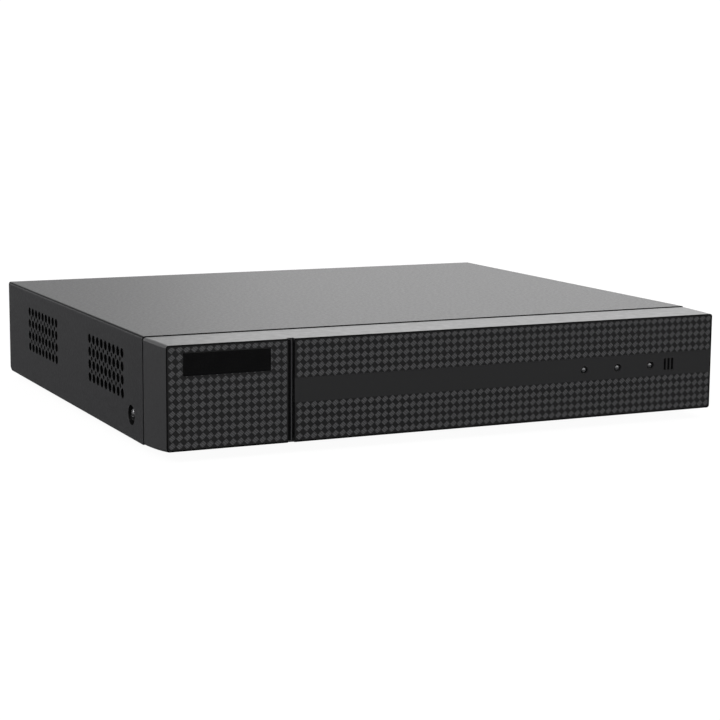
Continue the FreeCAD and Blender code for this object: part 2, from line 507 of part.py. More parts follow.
def front_electronics():
    """Light pipes in one clear moulding, and the small board behind them with its lamps and buzzer."""
    dome_out, pipe_length, dome_rounding = 0.3, 6.6, PIPE_RADIUS - 0.1
    bridge_y, bridge_half = (FRONT + 3.5, FRONT + 5.0), 0.8
    screw_hole, lamp_side, lamp_deep = 1.2, 2.8, 1.6
    buzzer_radius, buzzer_deep, buzzer_bore = 4.4, 5.0, 0.9
    pipes = []
    for x in LAMP_X:
        pipe = rod(PIPE_RADIUS, (x, FRONT + dome_out, LAMP_Z), Y_AXIS, pipe_length)
        pipes.append(pipe.makeFillet(dome_rounding, edges_on(pipe, y=FRONT + dome_out)))
    bridge = block((LAMP_X[0] - PIPE_RADIUS, LAMP_X[2] + PIPE_RADIUS), bridge_y,
                   (LAMP_Z - bridge_half, LAMP_Z + bridge_half))
    save("light_pipes", bridge.multiFuse(pipes).removeSplitter())
    board = block(FRONT_BOARD_X, (FRONT_BOARD_Y, FRONT_BOARD_Y + FRONT_BOARD_THICK),
                  (LAMP_Z - FRONT_BOARD_HALF, LAMP_Z + FRONT_BOARD_HALF))
    save("front_board", board.cut([rod(screw_hole, (x, FRONT_BOARD_Y - PAST, LAMP_Z), Y_AXIS,
                                       FRONT_BOARD_THICK + 2 * PAST)
                                   for x in FRONT_BOARD_SCREWS_X]))
    save("status_lamps", *[behind(x, LAMP_Z - lamp_side / 2, lamp_side, lamp_side,
                                  FRONT_BOARD_Y - lamp_deep,
                                  FRONT_BOARD_Y) for x in LAMP_X])
    buzzer = rod(buzzer_radius, (BUZZER_X, FRONT_BOARD_Y - buzzer_deep, LAMP_Z), Y_AXIS, buzzer_deep)
    save("buzzer", buzzer.cut(rod(buzzer_bore, (BUZZER_X, FRONT_BOARD_Y - buzzer_deep - PAST, LAMP_Z),
                                  Y_AXIS,
                                  buzzer_deep / 2)))


# ---------------------------------------------------------------- main board
def main_board():
    """A wide strip along the back with a lobe towards the front, on seven posts, and the board screws."""
    strip_x, strip_front = (-118.0, 120.0), 32.0
    lobe_x, lobe_front = (54.0, 109.0), -30.0
    board_hole, post, post_bore = 1.65, 3.0, 1.3
    strip = block(strip_x, (strip_front, BOARD_BACK), (BOARD_Z, BOARD_TOP))
    lobe = block(lobe_x, (lobe_front, strip_front + PAST), (BOARD_Z, BOARD_TOP))
    holes = [rod(board_hole, (x, y, BOARD_Z - PAST), Z_AXIS, BOARD_SHEET + 2 * PAST) for x, y in STANDOFFS]
    save("main_board", strip.fuse(lobe).cut(holes).removeSplitter())
    save("board_standoffs", *[ring(post, post_bore, (x, y, FLOOR), Z_AXIS, BOARD_Z - FLOOR)
                              for x, y in STANDOFFS])
    fixings = [screw((x, y, BOARD_TOP), (0, 0, 1), *BOARD_SCREW) for x, y in STANDOFFS]
    fixings += [screw((x, FRONT_BOARD_Y + FRONT_BOARD_THICK, LAMP_Z), (0, 1, 0), *PANEL_SCREW)
                for x in FRONT_BOARD_SCREWS_X]
    save("board_screws", *fixings)


def header(x, y, wide, deep, tall):
    """A board header: an open box that a lead's plug sits in."""
    room = centred(x, y, BOARD_TOP + HEADER_FLOOR, wide - 2 * HEADER_WALL, deep - 2 * HEADER_WALL, tall)
    return centred(x, y, BOARD_TOP, wide, deep, tall).cut(room)


def finned_block(x, y, foot):
    """Extruded heatsink with square cut fins and one cut across them."""
    base, pitch, fin, edge, count = 3.0, 4.0, 1.2, 1.0, 9
    past_side = HEATSINK_SIDE + 2 * PAST
    body = centred(x, y, foot, HEATSINK_SIDE, HEATSINK_SIDE, HEATSINK_HEIGHT)
    first_gap = x - HEATSINK_SIDE / 2 + edge + pitch / 2
    gaps = [centred(first_gap + pitch * n, y, foot + base, pitch - fin, past_side, HEATSINK_HEIGHT)
            for n in range(count)]
    cross = centred(x, y, foot + base, past_side, pitch - edge, HEATSINK_HEIGHT)
    return body.cut(gaps + [cross])


def board_parts():
    """Chips, heatsink, capacitors, coils, the clock cell in its holder, and the headers."""
    processor, decoder, driver, memory = (21, 21), (16, 16), (8, 6), (9, 13)
    driver_x, decoder_place = 96.5, (84.0, 64.0)
    can_rounding, coil_rounding = 0.6, 1.4
    x, y = HEATSINK_CENTRE
    chips = [centred(x, y, BOARD_TOP, *processor, CHIP), centred(*decoder_place, BOARD_TOP, *decoder, CHIP),
             centred(driver_x, MEMORY_Y, BOARD_TOP, *driver, CHIP)]
    chips += [centred(memory_x, MEMORY_Y, BOARD_TOP, *memory, CHIP) for memory_x in MEMORY_X]
    save("board_chips", *chips)
    save("heatsink", finned_block(x, y, BOARD_TOP + CHIP))
    cans = [rod(CAN_RADIUS, (*place, BOARD_TOP), Z_AXIS, CAN_HEIGHT) for place in CANS]
    save("capacitors", *[can.makeFillet(can_rounding, edges_on(can, z=BOARD_TOP + CAN_HEIGHT))
                         for can in cans])
    coils = [centred(coil_x, COIL_Y, BOARD_TOP, COIL_SIDE, COIL_SIDE, COIL_HEIGHT) for coil_x in COIL_X]
    save("power_coils", *[coil.makeFillet(coil_rounding, edges_as_long(coil, COIL_HEIGHT))
                          for coil in coils])
    seat, holder_wall, holder_height, notch = 1.1, 1.6, 4.2, 7.0
    save("clock_cell", rod(CELL_RADIUS, (*CELL, BOARD_TOP + seat + 0.1), Z_AXIS, CELL_HEIGHT))
    holder = ring(CELL_RADIUS + holder_wall, CELL_RADIUS + 0.1, (*CELL, BOARD_TOP), Z_AXIS, holder_height)
    holder = holder.fuse(rod(CELL_RADIUS + 2 * TOUCH, (*CELL, BOARD_TOP), Z_AXIS, seat))
    front_part = block((CELL[0] - 2 * CELL_RADIUS, CELL[0] + 2 * CELL_RADIUS),
                       (CELL[1] - 2 * CELL_RADIUS, CELL[1] - notch),
                       (BOARD_TOP + seat, BOARD_TOP + 2 * holder_height))
    save("cell_holder", holder.cut(front_part).removeSplitter())
    save("board_headers", *[header(*place) for place in HEADERS])


# ---------------------------------------------------------------- rear sockets
def video_sockets():
    """Bayonet sockets: housing on the board, nickel barrel, insulator, contact, and the nut outside."""
    housing_half, flange_step, thread_length, lug, lug_back = 7.2, 0.5, 4.6, 1.0, 4.4
    cavity, cavity_start, nose, nose_length, bore = 4.1, REAR_IN + 4.0, 2.4, 5.6, 1.05
    seat_thick, nut_flats, nut_thick = 1.2, 14.2, 2.2
    length = TIPS - REAR_IN
    housings, barrels, insulators, contacts, nuts = [], [], [], [], []
    for x in VIDEO_X:
        housings.append(block((x - housing_half, x + housing_half), (SOCKET_FRONT, REAR_IN - flange_step),
                              (BOARD_TOP, VIDEO_Z + housing_half)))
        barrel = rod(VIDEO_THREAD, (x, REAR_IN - flange_step, VIDEO_Z), Y_AXIS, thread_length)
        barrel = barrel.fuse(rod(VIDEO_BARREL, (x, REAR_IN, VIDEO_Z), Y_AXIS, length))
        lug_reach = VIDEO_BARREL + lug - TOUCH
        lugs = rod(lug, (x - lug_reach, TIPS - lug_back, VIDEO_Z), X_AXIS, 2 * lug_reach)
        barrels.append(barrel.fuse(lugs).cut(rod(cavity, (x, cavity_start, VIDEO_Z), Y_AXIS,
                                                 length)).removeSplitter())
        seat = rod(cavity - CLEAR, (x, cavity_start, VIDEO_Z), Y_AXIS, seat_thick)
        core = seat.fuse(rod(nose, (x, cavity_start, VIDEO_Z), Y_AXIS, nose_length))
        insulators.append(core.cut(rod(bore, (x, REAR_IN, VIDEO_Z), Y_AXIS, 2 * length)).removeSplitter())
        contacts.append(ring(bore - CLEAR, bore / 2, (x, cavity_start, VIDEO_Z), Y_AXIS,
                             nose_length - TOUCH))
        nut = hexagon(nut_flats, (x, REAR_OUT + CLEAR, VIDEO_Z), nut_thick)
        nuts.append(nut.cut(rod(VIDEO_THREAD + CLEAR, (x, REAR_OUT - PAST, VIDEO_Z), Y_AXIS,
                                2 * thread_length)))
    save("video_socket_housings", *housings)
    save("video_socket_barrels", *barrels)
    save("video_socket_insulators", *insulators)
    save("video_socket_contacts", *contacts)
    save("video_socket_nuts", *nuts)


def audio_sockets():
    """Two stacked audio sockets: one housing, two shells and two insulators."""
    housing_half, shell_length, shell_wall, pin_bore, step = 5.6, 9.0, 0.75, 1.65, 0.4
    start = REAR_IN - step
    inside = AUDIO_SHELL - shell_wall
    save("audio_socket_housing", block((AUDIO_X - housing_half, AUDIO_X + housing_half),
                                       (SOCKET_FRONT, start),
                                       (BOARD_TOP, AUDIO_Z[1] + housing_half + step)))
    save("audio_socket_shells", *[ring(AUDIO_SHELL, inside, (AUDIO_X, start, z), Y_AXIS, shell_length)
                                  for z in AUDIO_Z])
    save("audio_socket_insulators", *[ring(inside - CLEAR, pin_bore, (AUDIO_X, start, z), Y_AXIS,
                                           shell_length - step)
                                      for z in AUDIO_Z])


def vga_socket():
    """Monitor socket: steel flange and D-shaped snout, blue insert with fifteen holes, two jack screws."""
    flange_wide, flange_tall, flange_front, flange_thick = 30.8, 12.4, REAR_IN - 0.9, 0.8
    snout_length, core_length, screw_hole = 6.4, 5.8, 1.55
    pin, pin_pitch, row_pitch, row_shift = 0.55, 2.29, 1.98, (0.57, -0.57, 0.57)
    jack_flats, jack_length, jack_shank, jack_bore = 4.8, 5.0, 1.5, 1.2
    screws_x = [VGA_X + side * VGA_SCREW_OUT for side in SIDES]
    flange = behind(VGA_X, VGA_Z - flange_tall / 2, flange_wide, flange_tall, flange_front,
                    flange_front + flange_thick)
    snout = grown_trapezoid((VGA_X, flange_front, VGA_Z), VGA_SIZE, VGA_WALL, snout_length)
    inside = grown_trapezoid((VGA_X, flange_front - PAST, VGA_Z), VGA_SIZE, 0.0, snout_length + 2 * PAST)
    flange_holes = [rod(screw_hole, (x, flange_front - PAST, VGA_Z), Y_AXIS, flange_thick + 2 * PAST)
                    for x in screws_x]
    save("vga_shell", flange.fuse(snout).cut([inside] + flange_holes).removeSplitter())
    core = grown_trapezoid((VGA_X, flange_front, VGA_Z), VGA_SIZE, -CLEAR, core_length)
    rear = block((VGA_X - flange_wide / 2 + TOUCH, VGA_X + flange_wide / 2 - TOUCH),
                 (SOCKET_FRONT + 2, flange_front),
                 (BOARD_TOP, VGA_Z + flange_tall / 2))
    holes = [rod(pin, (VGA_X + pin_pitch * (column - 2) + row_shift[row], REAR_IN + PAST,
                       VGA_Z + row_pitch * (row - 1)),
                 Y_AXIS, snout_length) for column in range(5) for row in range(3)]
    holes += [rod(screw_hole, (x, REAR_IN - jack_length, VGA_Z), Y_AXIS, 2 * jack_length) for x in screws_x]
    save("vga_insert", rear.fuse(core).cut(holes).removeSplitter())
    jacks = []
    for x in screws_x:
        jack = hexagon(jack_flats, (x, REAR_OUT + CLEAR, VGA_Z), jack_length)
        jack = jack.fuse(rod(jack_shank, (x, REAR_IN - jack_length + PAST, VGA_Z), Y_AXIS,
                             jack_length + PAST))
        jacks.append(jack.cut(rod(jack_bore, (x, REAR_OUT + CLEAR, VGA_Z), Y_AXIS,
                                  2 * jack_length)).removeSplitter())
    save("vga_jack_screws", *jacks)


def digital_sockets():
    """HDMI, network and the pair of USB sockets: a folded steel shell round a moulding in each."""
    hdmi_front, proud, latch_wide = REAR_IN - 10.7, 0.5, 6.2
    hdmi_tongue, hdmi_tongue_z = 10.4, (HDMI_Z - 0.3, HDMI_Z + 1.2)
    usb_room, usb_floors, usb_back_wall = (12.6, 5.3), (1.2, 9.4), 2.0
    usb_tongue, usb_tongue_z = (11.2, 1.8), 3.1
    out = REAR_OUT + proud
    hdmi = grown_trapezoid((HDMI_X, hdmi_front, HDMI_Z), HDMI_SIZE, HDMI_WALL, out - hdmi_front)
    room_start = hdmi_front + HDMI_WALL
    save("hdmi_shell", hdmi.cut(grown_trapezoid((HDMI_X, room_start, HDMI_Z), HDMI_SIZE, 0.0,
                                                out - hdmi_front)))
    tongues = [block((HDMI_X - hdmi_tongue / 2, HDMI_X + hdmi_tongue / 2), (room_start, REAR_OUT - proud),
                     hdmi_tongue_z)]
    wide, tall = LAN_SIZE
    inner_wide, inner_tall = wide - 2 * LAN_WALL, tall - 2 * LAN_WALL
    inner_z, inner_front = BOARD_TOP + LAN_WALL, SOCKET_FRONT + LAN_WALL
    lan = behind(LAN_X, BOARD_TOP, wide, tall, SOCKET_FRONT, out)
    save("lan_shell", lan.cut(behind(LAN_X, inner_z, inner_wide, inner_tall, inner_front, out + PAST)))
    insert = behind(LAN_X, inner_z, inner_wide, inner_tall, inner_front, REAR_OUT)
    plug_room = block(LAN_ROOM_X, (REAR_OUT - LAN_ROOM_DEPTH, REAR_OUT + PAST), LAN_ROOM_Z)
    latch_floor = inner_z + 2 * LAN_WALL
    latch_room = behind(LAN_X, latch_floor, latch_wide, LAN_ROOM_Z[0] + TOUCH - latch_floor,
                        REAR_OUT - LAN_ROOM_DEPTH + PAST, REAR_OUT + PAST)
    save("lan_insert", insert.cut([plug_room, latch_room]))
    wide, tall = USB_SIZE
    usb_back = SOCKET_FRONT + usb_back_wall
    usb = behind(USB_X, BOARD_TOP, wide, tall, SOCKET_FRONT, out)
    save("usb_shell", usb.cut([behind(USB_X, BOARD_TOP + z, *usb_room, usb_back, out + PAST)
                               for z in usb_floors]))
    tongues += [behind(USB_X, BOARD_TOP + z + usb_tongue_z, *usb_tongue, usb_back, REAR_OUT - proud)
                for z in usb_floors]
    save("socket_tongues", *tongues)


def power_socket():
    """Supply inlet with its pin, and the earthing screw on the back wall."""
    proud, bore, bore_depth, pin, pin_start = 0.4, 3.15, 9.0, 1.0, REAR_OUT - 11.0
    wide, tall = POWER_SIZE
    body = behind(POWER_X, BOARD_TOP, wide, tall, SOCKET_FRONT + 2, REAR_OUT + proud)
    cuts = [rod(bore, (POWER_X, REAR_OUT - bore_depth, POWER_Z), Y_AXIS, 2 * bore_depth),
            rod(pin + 0.02, (POWER_X, pin_start, POWER_Z), Y_AXIS, 2 * bore_depth)]
    save("power_socket", body.cut(cuts))
    pin_end = REAR_OUT - 0.6
    plain_pin = rod(pin, (POWER_X, pin_start, POWER_Z), Y_AXIS, pin_end - pin_start)
    save("power_pin", plain_pin.makeFillet(0.4 * pin, edges_on(plain_pin, y=pin_end)))
    washer_radius, washer_bore, washer_thick = 4.0, 1.6, 0.8
    washer = ring(washer_radius, washer_bore, (GROUND_X, REAR_OUT, GROUND_Z), Y_AXIS, washer_thick)
    save("ground_screw", screw((GROUND_X, REAR_OUT + washer_thick, GROUND_Z), (0, 1, 0), *EARTH_SCREW),
         washer)


# ---------------------------------------------------------------- disk drive
def sector(centre, inner, outer, start, sweep, z, tall):
    """A ring sector about a vertical axis, angles in degrees."""
    turned = Part.makeCylinder(outer, tall, Vector(centre[0], centre[1], z), Z_AXIS, sweep)
    if inner:
        turned = turned.cut(rod(inner, (*centre, z - PAST), Z_AXIS, tall + 2 * PAST))
    return turned.rotate(Vector(*centre, 0), Z_AXIS, start)


def drive_case():
    """Cast base with the platter well, arm bay and board pocket, its stamped lid and its four screws."""
    corner, wall, well_clear, lid_inset = 2.0, 4.0, 1.3, 0.4
    post_foot, pivot_height, spindle_height = DRIVE_FLOOR - 0.5, 17.0, 10.0
    groove_outer, groove_inner, groove_depth = 44.0, 42.6, 0.5
    lid_screw, lid_screw_inset, lid_screw_middle = 2.4, 4.5, -44.0
    tapping, tapping_depth, board_pocket, socket_pocket, arm_bay_x = 1.75, 5.0, 3.4, 5.4, SPINDLE[0] + 20
    outer = block(DRIVE_X, DRIVE_Y, (DRIVE_Z[0], DRIVE_Z[1] - DRIVE_LID))
    upright = [edge for edge in outer.Edges if abs(edge.Vertexes[0].Z - edge.Vertexes[-1].Z) > wall]
    outer = outer.makeFillet(corner, upright)
    socket_bay = (DRIVE_SOCKET_Y[0] - corner, DRIVE_SOCKET_Y[1] + corner)
    cuts = [rod(PLATTER_RADIUS + well_clear, (*SPINDLE, DRIVE_FLOOR), Z_AXIS, DRIVE_Z[1]),
            block((arm_bay_x, DRIVE_X[1] - wall), (DRIVE_Y[0] + wall, DRIVE_Y[1] - wall),
                  (DRIVE_FLOOR, HEIGHT)),
            block((DRIVE_BOARD_X[0] - corner, DRIVE_X[1] - wall + PAST),
                  (DRIVE_Y[0] + 2 * wall, DRIVE_Y[1] - 2 * wall),
                  (0, DRIVE_Z[0] + board_pocket)),
            block((DRIVE_SOCKET_X[0] - 0.2, DRIVE_X[1] + PAST), socket_bay,
                  (0, DRIVE_Z[0] + socket_pocket))]
    cuts += [rod(tapping, (x, y, DRIVE_Z[0] - PAST), Z_AXIS, tapping_depth + PAST) for x, y in DRIVE_SCREWS]
    posts = [rod(POST, (*PIVOT, post_foot), Z_AXIS, pivot_height),
             rod(POST, (*SPINDLE, post_foot), Z_AXIS, spindle_height)]
    save("drive_base", outer.cut(cuts).multiFuse(posts).removeSplitter())
    lid = block((DRIVE_X[0] + lid_inset, DRIVE_X[1] - lid_inset),
                (DRIVE_Y[0] + lid_inset, DRIVE_Y[1] - lid_inset),
                (DRIVE_Z[1] - DRIVE_LID, DRIVE_Z[1]))
    lid = lid.makeFillet(corner, edges_as_long(lid, DRIVE_LID))
    cuts = [ring(groove_outer, groove_inner, (*SPINDLE, DRIVE_Z[1] - groove_depth), Z_AXIS, PAST)]
    for x in (DRIVE_X[0] + lid_screw_inset, lid_screw_middle, DRIVE_X[1] - lid_screw_inset):
        for y in (DRIVE_Y[0] + lid_screw_inset, DRIVE_Y[1] - lid_screw_inset):
            cuts.append(rod(lid_screw, (x, y, DRIVE_Z[1] - groove_depth), Z_AXIS, PAST))
    save("drive_lid", lid.cut(cuts))
    save("drive_screws", *[screw((x, y, DRIVE_Z[0] - SHEET), (0, 0, -1), *DRIVE_SCREW)
                           for x, y in DRIVE_SCREWS])


def drive_electronics():
    """The drive's own board under its base, and the socket at its edge."""
    board_z, socket_z, slot_z, slot_depth = (1.6, 3.2), (0.3, 5.2), (1.5, 3.6), 6.0

    def at(heights):
        return DRIVE_Z[0] + heights[0], DRIVE_Z[0] + heights[1]

    save("drive_board", block(DRIVE_BOARD_X, (DRIVE_Y[0] + DRIVE_BOARD_INSET,
                                              DRIVE_Y[1] - DRIVE_BOARD_INSET), at(board_z)))
    socket = block(DRIVE_SOCKET_X, DRIVE_SOCKET_Y, at(socket_z))
    save("drive_socket", socket.cut([block((DRIVE_X[1] - slot_depth, DRIVE_X[1] + PAST), y, at(slot_z))
                                     for y in DRIVE_SLOTS_Y]))


def drive_mechanism():
    """Spindle with two platters, the head arm on its pivot, and the magnet yoke round the arm's coil."""
    hub, hub_foot, hub_height, clamp, clamp_z = 12.5, DRIVE_FLOOR + 0.6, 14.6, 16.0, DRIVE_FLOOR + 13.2
    clamp_thick, bore_depth, screw_circle, screw_hole, platter_thick = 1.0, 10.2, 8.5, 0.9, 1.27
    arm_length, arm_parked, waist, blade_thick = 50.0, 100.0, 30.0, 1.2
    root_half, waist_half, tip_half = 6.0, 3.6, 1.2
    blade_heights, barrel, barrel_height = (1.6, 6.8, 12.6), 6.8, 15.0
    tail_length, tail_from, tail_sweep, tail_z, tail_thick = 21.0, 292.0, 26.0, 6.2, 2.6
    yoke_inner, yoke_outer, yoke_from, yoke_sweep, yoke_height = 9.0, 23.5, 288.0, 67.0, 14.0
    gap_outer, gap_low, gap_height = 22.2, 2.6, 8.8
    clamp_disc = rod(clamp, (*SPINDLE, clamp_z), Z_AXIS, clamp_thick)
    spindle = rod(hub, (*SPINDLE, hub_foot), Z_AXIS, hub_height).fuse(clamp_disc)
    cuts = [rod(POST_BORE, (*SPINDLE, DRIVE_FLOOR), Z_AXIS, bore_depth)]
    for n in range(6):
        angle = math.radians(60 * n)
        cuts.append(rod(screw_hole, (SPINDLE[0] + screw_circle * math.cos(angle),
                                     SPINDLE[1] + screw_circle * math.sin(angle), clamp_z - TOUCH),
                                     Z_AXIS, hub_height))
    save("drive_spindle", spindle.cut(cuts).removeSplitter())
    save("drive_platters", *[ring(PLATTER_RADIUS, hub + CLEAR, (*SPINDLE, z), Z_AXIS, platter_thick)
                             for z in PLATTERS_Z])
    half_outline = ((0.0, root_half), (waist, waist_half), (arm_length, tip_half))
    whole = [(along, -half) for along, half in half_outline] + [(along, half)
                                                                for along, half in half_outline[::-1]]
    arms = []
    for height in blade_heights:
        blade = outline([(PIVOT[0] + along, PIVOT[1] + across, DRIVE_FLOOR + height)
                         for along, across in whole],
                        (0, 0, blade_thick))
        arms.append(blade.rotate(Vector(*PIVOT, 0), Z_AXIS, arm_parked))
    tail = sector(PIVOT, 0, tail_length, tail_from, tail_sweep, DRIVE_FLOOR + tail_z, tail_thick)
    hub_barrel = rod(barrel, (*PIVOT, hub_foot), Z_AXIS, barrel_height)
    arm = hub_barrel.multiFuse(arms + [tail]).cut(rod(POST_BORE, (*PIVOT, 0), Z_AXIS, HEIGHT))
    save("drive_arm", arm.removeSplitter())
    yoke = sector(PIVOT, yoke_inner, yoke_outer, yoke_from, yoke_sweep, DRIVE_FLOOR, yoke_height)
    gap = sector(PIVOT, 0, gap_outer, yoke_from - 10, yoke_sweep + 20, DRIVE_FLOOR + gap_low, gap_height)
    save("drive_magnet_yoke", yoke.cut(gap))


# ---------------------------------------------------------------- fan
def fan_corners():
    return [(FAN_Y + a * FAN_HOLE_PITCH, FAN_Z + b * FAN_HOLE_PITCH) for a in SIDES for b in SIDES]


def fan():
    """Square frame with struts and a pin, the bladed rotor, and four long screws."""
    near, half, corner, throat, hole = BRACKET_X[0] - FAN_DEPTH, FAN_SIDE / 2, 2.5, 19.0, 2.0
    hub_plate, plate_thick, strut_half, pin, pin_length = 9.0, 1.6, 1.1, 1.0, 6.0
    rotor_start, rotor_radius, rotor_length, pin_bore = near + 2.2, 10.5, 7.2, 1.05
    blades, blade_half, blade_root, blade_tip, blade_pitch = 7, 0.5, 8.0, 18.2, 38.0
    body = block((near, BRACKET_X[0]), (FAN_Y - half, FAN_Y + half), (FAN_Z - half, FAN_Z + half))
    body = body.makeFillet(corner, edges_as_long(body, FAN_DEPTH))
    through = FAN_DEPTH + 2 * PAST
    body = body.cut([rod(throat, (near - PAST, FAN_Y, FAN_Z), X_AXIS, through)]
                    + [rod(hole, (near - PAST, y, z), X_AXIS, through) for y, z in fan_corners()])
    struts = [rod(hub_plate, (near, FAN_Y, FAN_Z), X_AXIS, plate_thick),
              rod(pin, (near + plate_thick - TOUCH, FAN_Y, FAN_Z), X_AXIS, pin_length)]
    for n in range(3):
        strut = block((near, near + plate_thick), (FAN_Y - strut_half, FAN_Y + strut_half),
                      (FAN_Z, FAN_Z + throat + 0.6))
        struts.append(strut.rotate(Vector(near, FAN_Y, FAN_Z), X_AXIS, 30 + 120 * n))
    save("fan_frame", body.multiFuse(struts).removeSplitter())
    rotor = rod(rotor_radius, (rotor_start, FAN_Y, FAN_Z), X_AXIS, rotor_length)
    made = []
    for n in range(blades):
        blade = block((rotor_start + TOUCH, rotor_start + rotor_length - TOUCH),
                      (FAN_Y - blade_half, FAN_Y + blade_half),
                      (FAN_Z + blade_root, FAN_Z + blade_tip))
        blade.rotate(Vector(rotor_start + rotor_length / 2, FAN_Y, FAN_Z), Z_AXIS, blade_pitch)
        made.append(blade.rotate(Vector(rotor_start, FAN_Y, FAN_Z), X_AXIS, 360 / blades * n))
    bore = rod(pin_bore, (rotor_start - PAST, FAN_Y, FAN_Z), X_AXIS, pin_length + TOUCH)
    save("fan_rotor", rotor.multiFuse(made).cut(bore).removeSplitter())
    save("fan_screws", *[screw((near, y, z), (-1, 0, 0), 3.3, 1.7, 1.85, FAN_DEPTH + SHEET)
                         for y, z in fan_corners()])


# ---------------------------------------------------------------- leads inside the case


def angled_plug(x, y, wide, deep, tall):
    """A plug in a header, with a head above it that the lead enters from the front."""
    slack = 2 * HEADER_WALL + 0.4
    tongue = centred(x, y, BOARD_TOP + HEADER_FLOOR + 0.1, wide - slack, deep - slack, tall)
    return tongue.fuse(centred(x, y, BOARD_TOP + tall + 0.1, wide, deep, PLUG_HEAD)).removeSplitter()


def leads():
    """Leads between the boards, the drive and the fan, each ending at the face of its plug."""
    data_radius, power_radius, fan_radius, front_radius = 1.5, 1.8, 0.9, 1.1
    tall_head, low_head = BOARD_TOP + 10.6, BOARD_TOP + 8.1
    plug_x, data_z, power_y = sum(SIDE_PLUG_X) / 2, DRIVE_Z[0] + 2.7, sum(POWER_PLUG_Y) / 2
    save("lead_plugs", block(SIDE_PLUG_X, DATA_PLUG_Y, DATA_PLUG_Z),
         block(SIDE_PLUG_X, POWER_PLUG_Y, POWER_PLUG_Z),
         *[angled_plug(*place) for place in HEADERS])
    data, power, fan_end, front = [(x, y - deep / 2) for x, y, _, deep, _ in HEADERS]
    save("drive_data_lead", lead([(plug_x, DATA_PLUG_Y[1], data_z), (plug_x, 8, data_z),
                                  (37, 17, FLOOR + 9),
                                  (41.8, 24.5, FLOOR + 14.9), (data[0], data[1] - 6.5, tall_head),
                                  (*data, tall_head)],
                                 data_radius))
    save("drive_power_lead", lead([(plug_x, power_y, POWER_PLUG_Z[1]), (plug_x, power_y, FLOOR + 17.5),
                                   (plug_x + 0.3, power_y + 7, FLOOR + 24), (33.6, -7, FLOOR + 26),
                                   (34, 8, FLOOR + 25.5), (33.8, 19.5, FLOOR + 21.5),
                                   (power[0], power[1] - 8, tall_head),
                                   (*power, tall_head)], power_radius))
    fan_x, fan_back, fan_exit_z = BRACKET_X[0] - 5.4, FAN_Y + FAN_SIDE / 2, FLOOR + 9.5
    save("fan_lead", lead([(fan_x, fan_back, fan_exit_z), (fan_x, fan_back + 9, fan_exit_z),
                           (114.6, -8, FLOOR + 10.6),
                           (108.4, 5, FLOOR + 13.6), (fan_end[0], fan_end[1] - 7, low_head),
                           (*fan_end, low_head)],
                          fan_radius))
    front_back = FRONT_BOARD_Y + FRONT_BOARD_THICK
    save("front_board_lead", lead([(104, front_back, FLOOR + 14.5), (104, front_back + 13, FLOOR + 14.5),
                                   (103.4, -80, FLOOR + 12), (102.8, -63, FLOOR + 10.1),
                                   (103.7, -47, FLOOR + 10.3),
                                   (103.2, -31, FLOOR + 12.5), (front[0], front[1] - 9, low_head),
                                   (*front, low_head)],
                                  front_radius))


def main():
    os.makedirs("parts", exist_ok=True)
    for build in (top_cover, cover_fasteners, base_tray, feet, front_bezel, face_plates, front_electronics,
                  main_board, board_parts, video_sockets, audio_sockets, vga_socket, digital_sockets,
                  power_socket, drive_case, drive_electronics, drive_mechanism, fan, leads):
        build()


main()
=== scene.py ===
import math
import random

import bpy
import bmesh
from mathutils import Matrix, Vector


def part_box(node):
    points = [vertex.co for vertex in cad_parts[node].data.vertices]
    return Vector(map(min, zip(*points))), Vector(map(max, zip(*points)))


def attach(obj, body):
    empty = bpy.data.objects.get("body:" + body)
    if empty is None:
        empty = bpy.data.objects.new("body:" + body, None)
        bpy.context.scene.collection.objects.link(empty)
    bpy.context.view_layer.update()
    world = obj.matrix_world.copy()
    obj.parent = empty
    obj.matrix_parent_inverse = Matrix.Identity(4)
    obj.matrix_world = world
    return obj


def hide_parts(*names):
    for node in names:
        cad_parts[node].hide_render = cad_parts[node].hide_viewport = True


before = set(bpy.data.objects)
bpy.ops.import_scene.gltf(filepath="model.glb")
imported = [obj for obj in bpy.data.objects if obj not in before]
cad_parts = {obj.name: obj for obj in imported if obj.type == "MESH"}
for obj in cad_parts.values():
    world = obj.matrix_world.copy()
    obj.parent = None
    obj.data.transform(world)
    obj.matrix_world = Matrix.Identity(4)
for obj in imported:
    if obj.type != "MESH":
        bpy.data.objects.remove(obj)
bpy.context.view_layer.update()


# ---- Studio ---------------------------------------------------------------------------------
# A white table against a white backdrop.  Above the backdrop the sky brightens from left to right.
# Two small bright lamps, over the left shoulder and behind on the left, put the highlights on the
# lamp domes and the side screw, and a large soft one behind lights the sockets.
MM = 0.001
CAMERA_PLACE = Vector((-0.3686, -0.8070, 0.1552))
CAMERA_TURN, CAMERA_TILT, CAMERA_ROLL = (math.radians(angle) for angle in (-25.213, 90 - 8.892, 0.433))
camera_data = bpy.data.cameras.new("studio_camera")
camera_data.lens, camera_data.sensor_width = 94.15, 36.0
camera_data.clip_start, camera_data.clip_end = 0.05, 600.0
camera = bpy.data.objects.new("studio_camera", camera_data)
camera.matrix_world = (Matrix.Translation(CAMERA_PLACE) @ Matrix.Rotation(CAMERA_TURN, 4, "Z")
                       @ Matrix.Rotation(CAMERA_TILT, 4, "X") @ Matrix.Rotation(CAMERA_ROLL, 4, "Z"))
bpy.context.scene.collection.objects.link(camera)
bpy.context.scene.camera = camera
bpy.context.scene.view_settings.view_transform = "Standard"


def node(material, kind, **values):
    """Adds a node; values are its properties, or its inputs by name with spaces as underscores."""
    made = material.node_tree.nodes.new(kind)
    for key, value in values.items():
        if hasattr(made, key):
            setattr(made, key, value)
        else:
            made.inputs[key.replace("_", " ")].default_value = value
    return made


def join(material, start, end):
    material.node_tree.links.new(start, end)


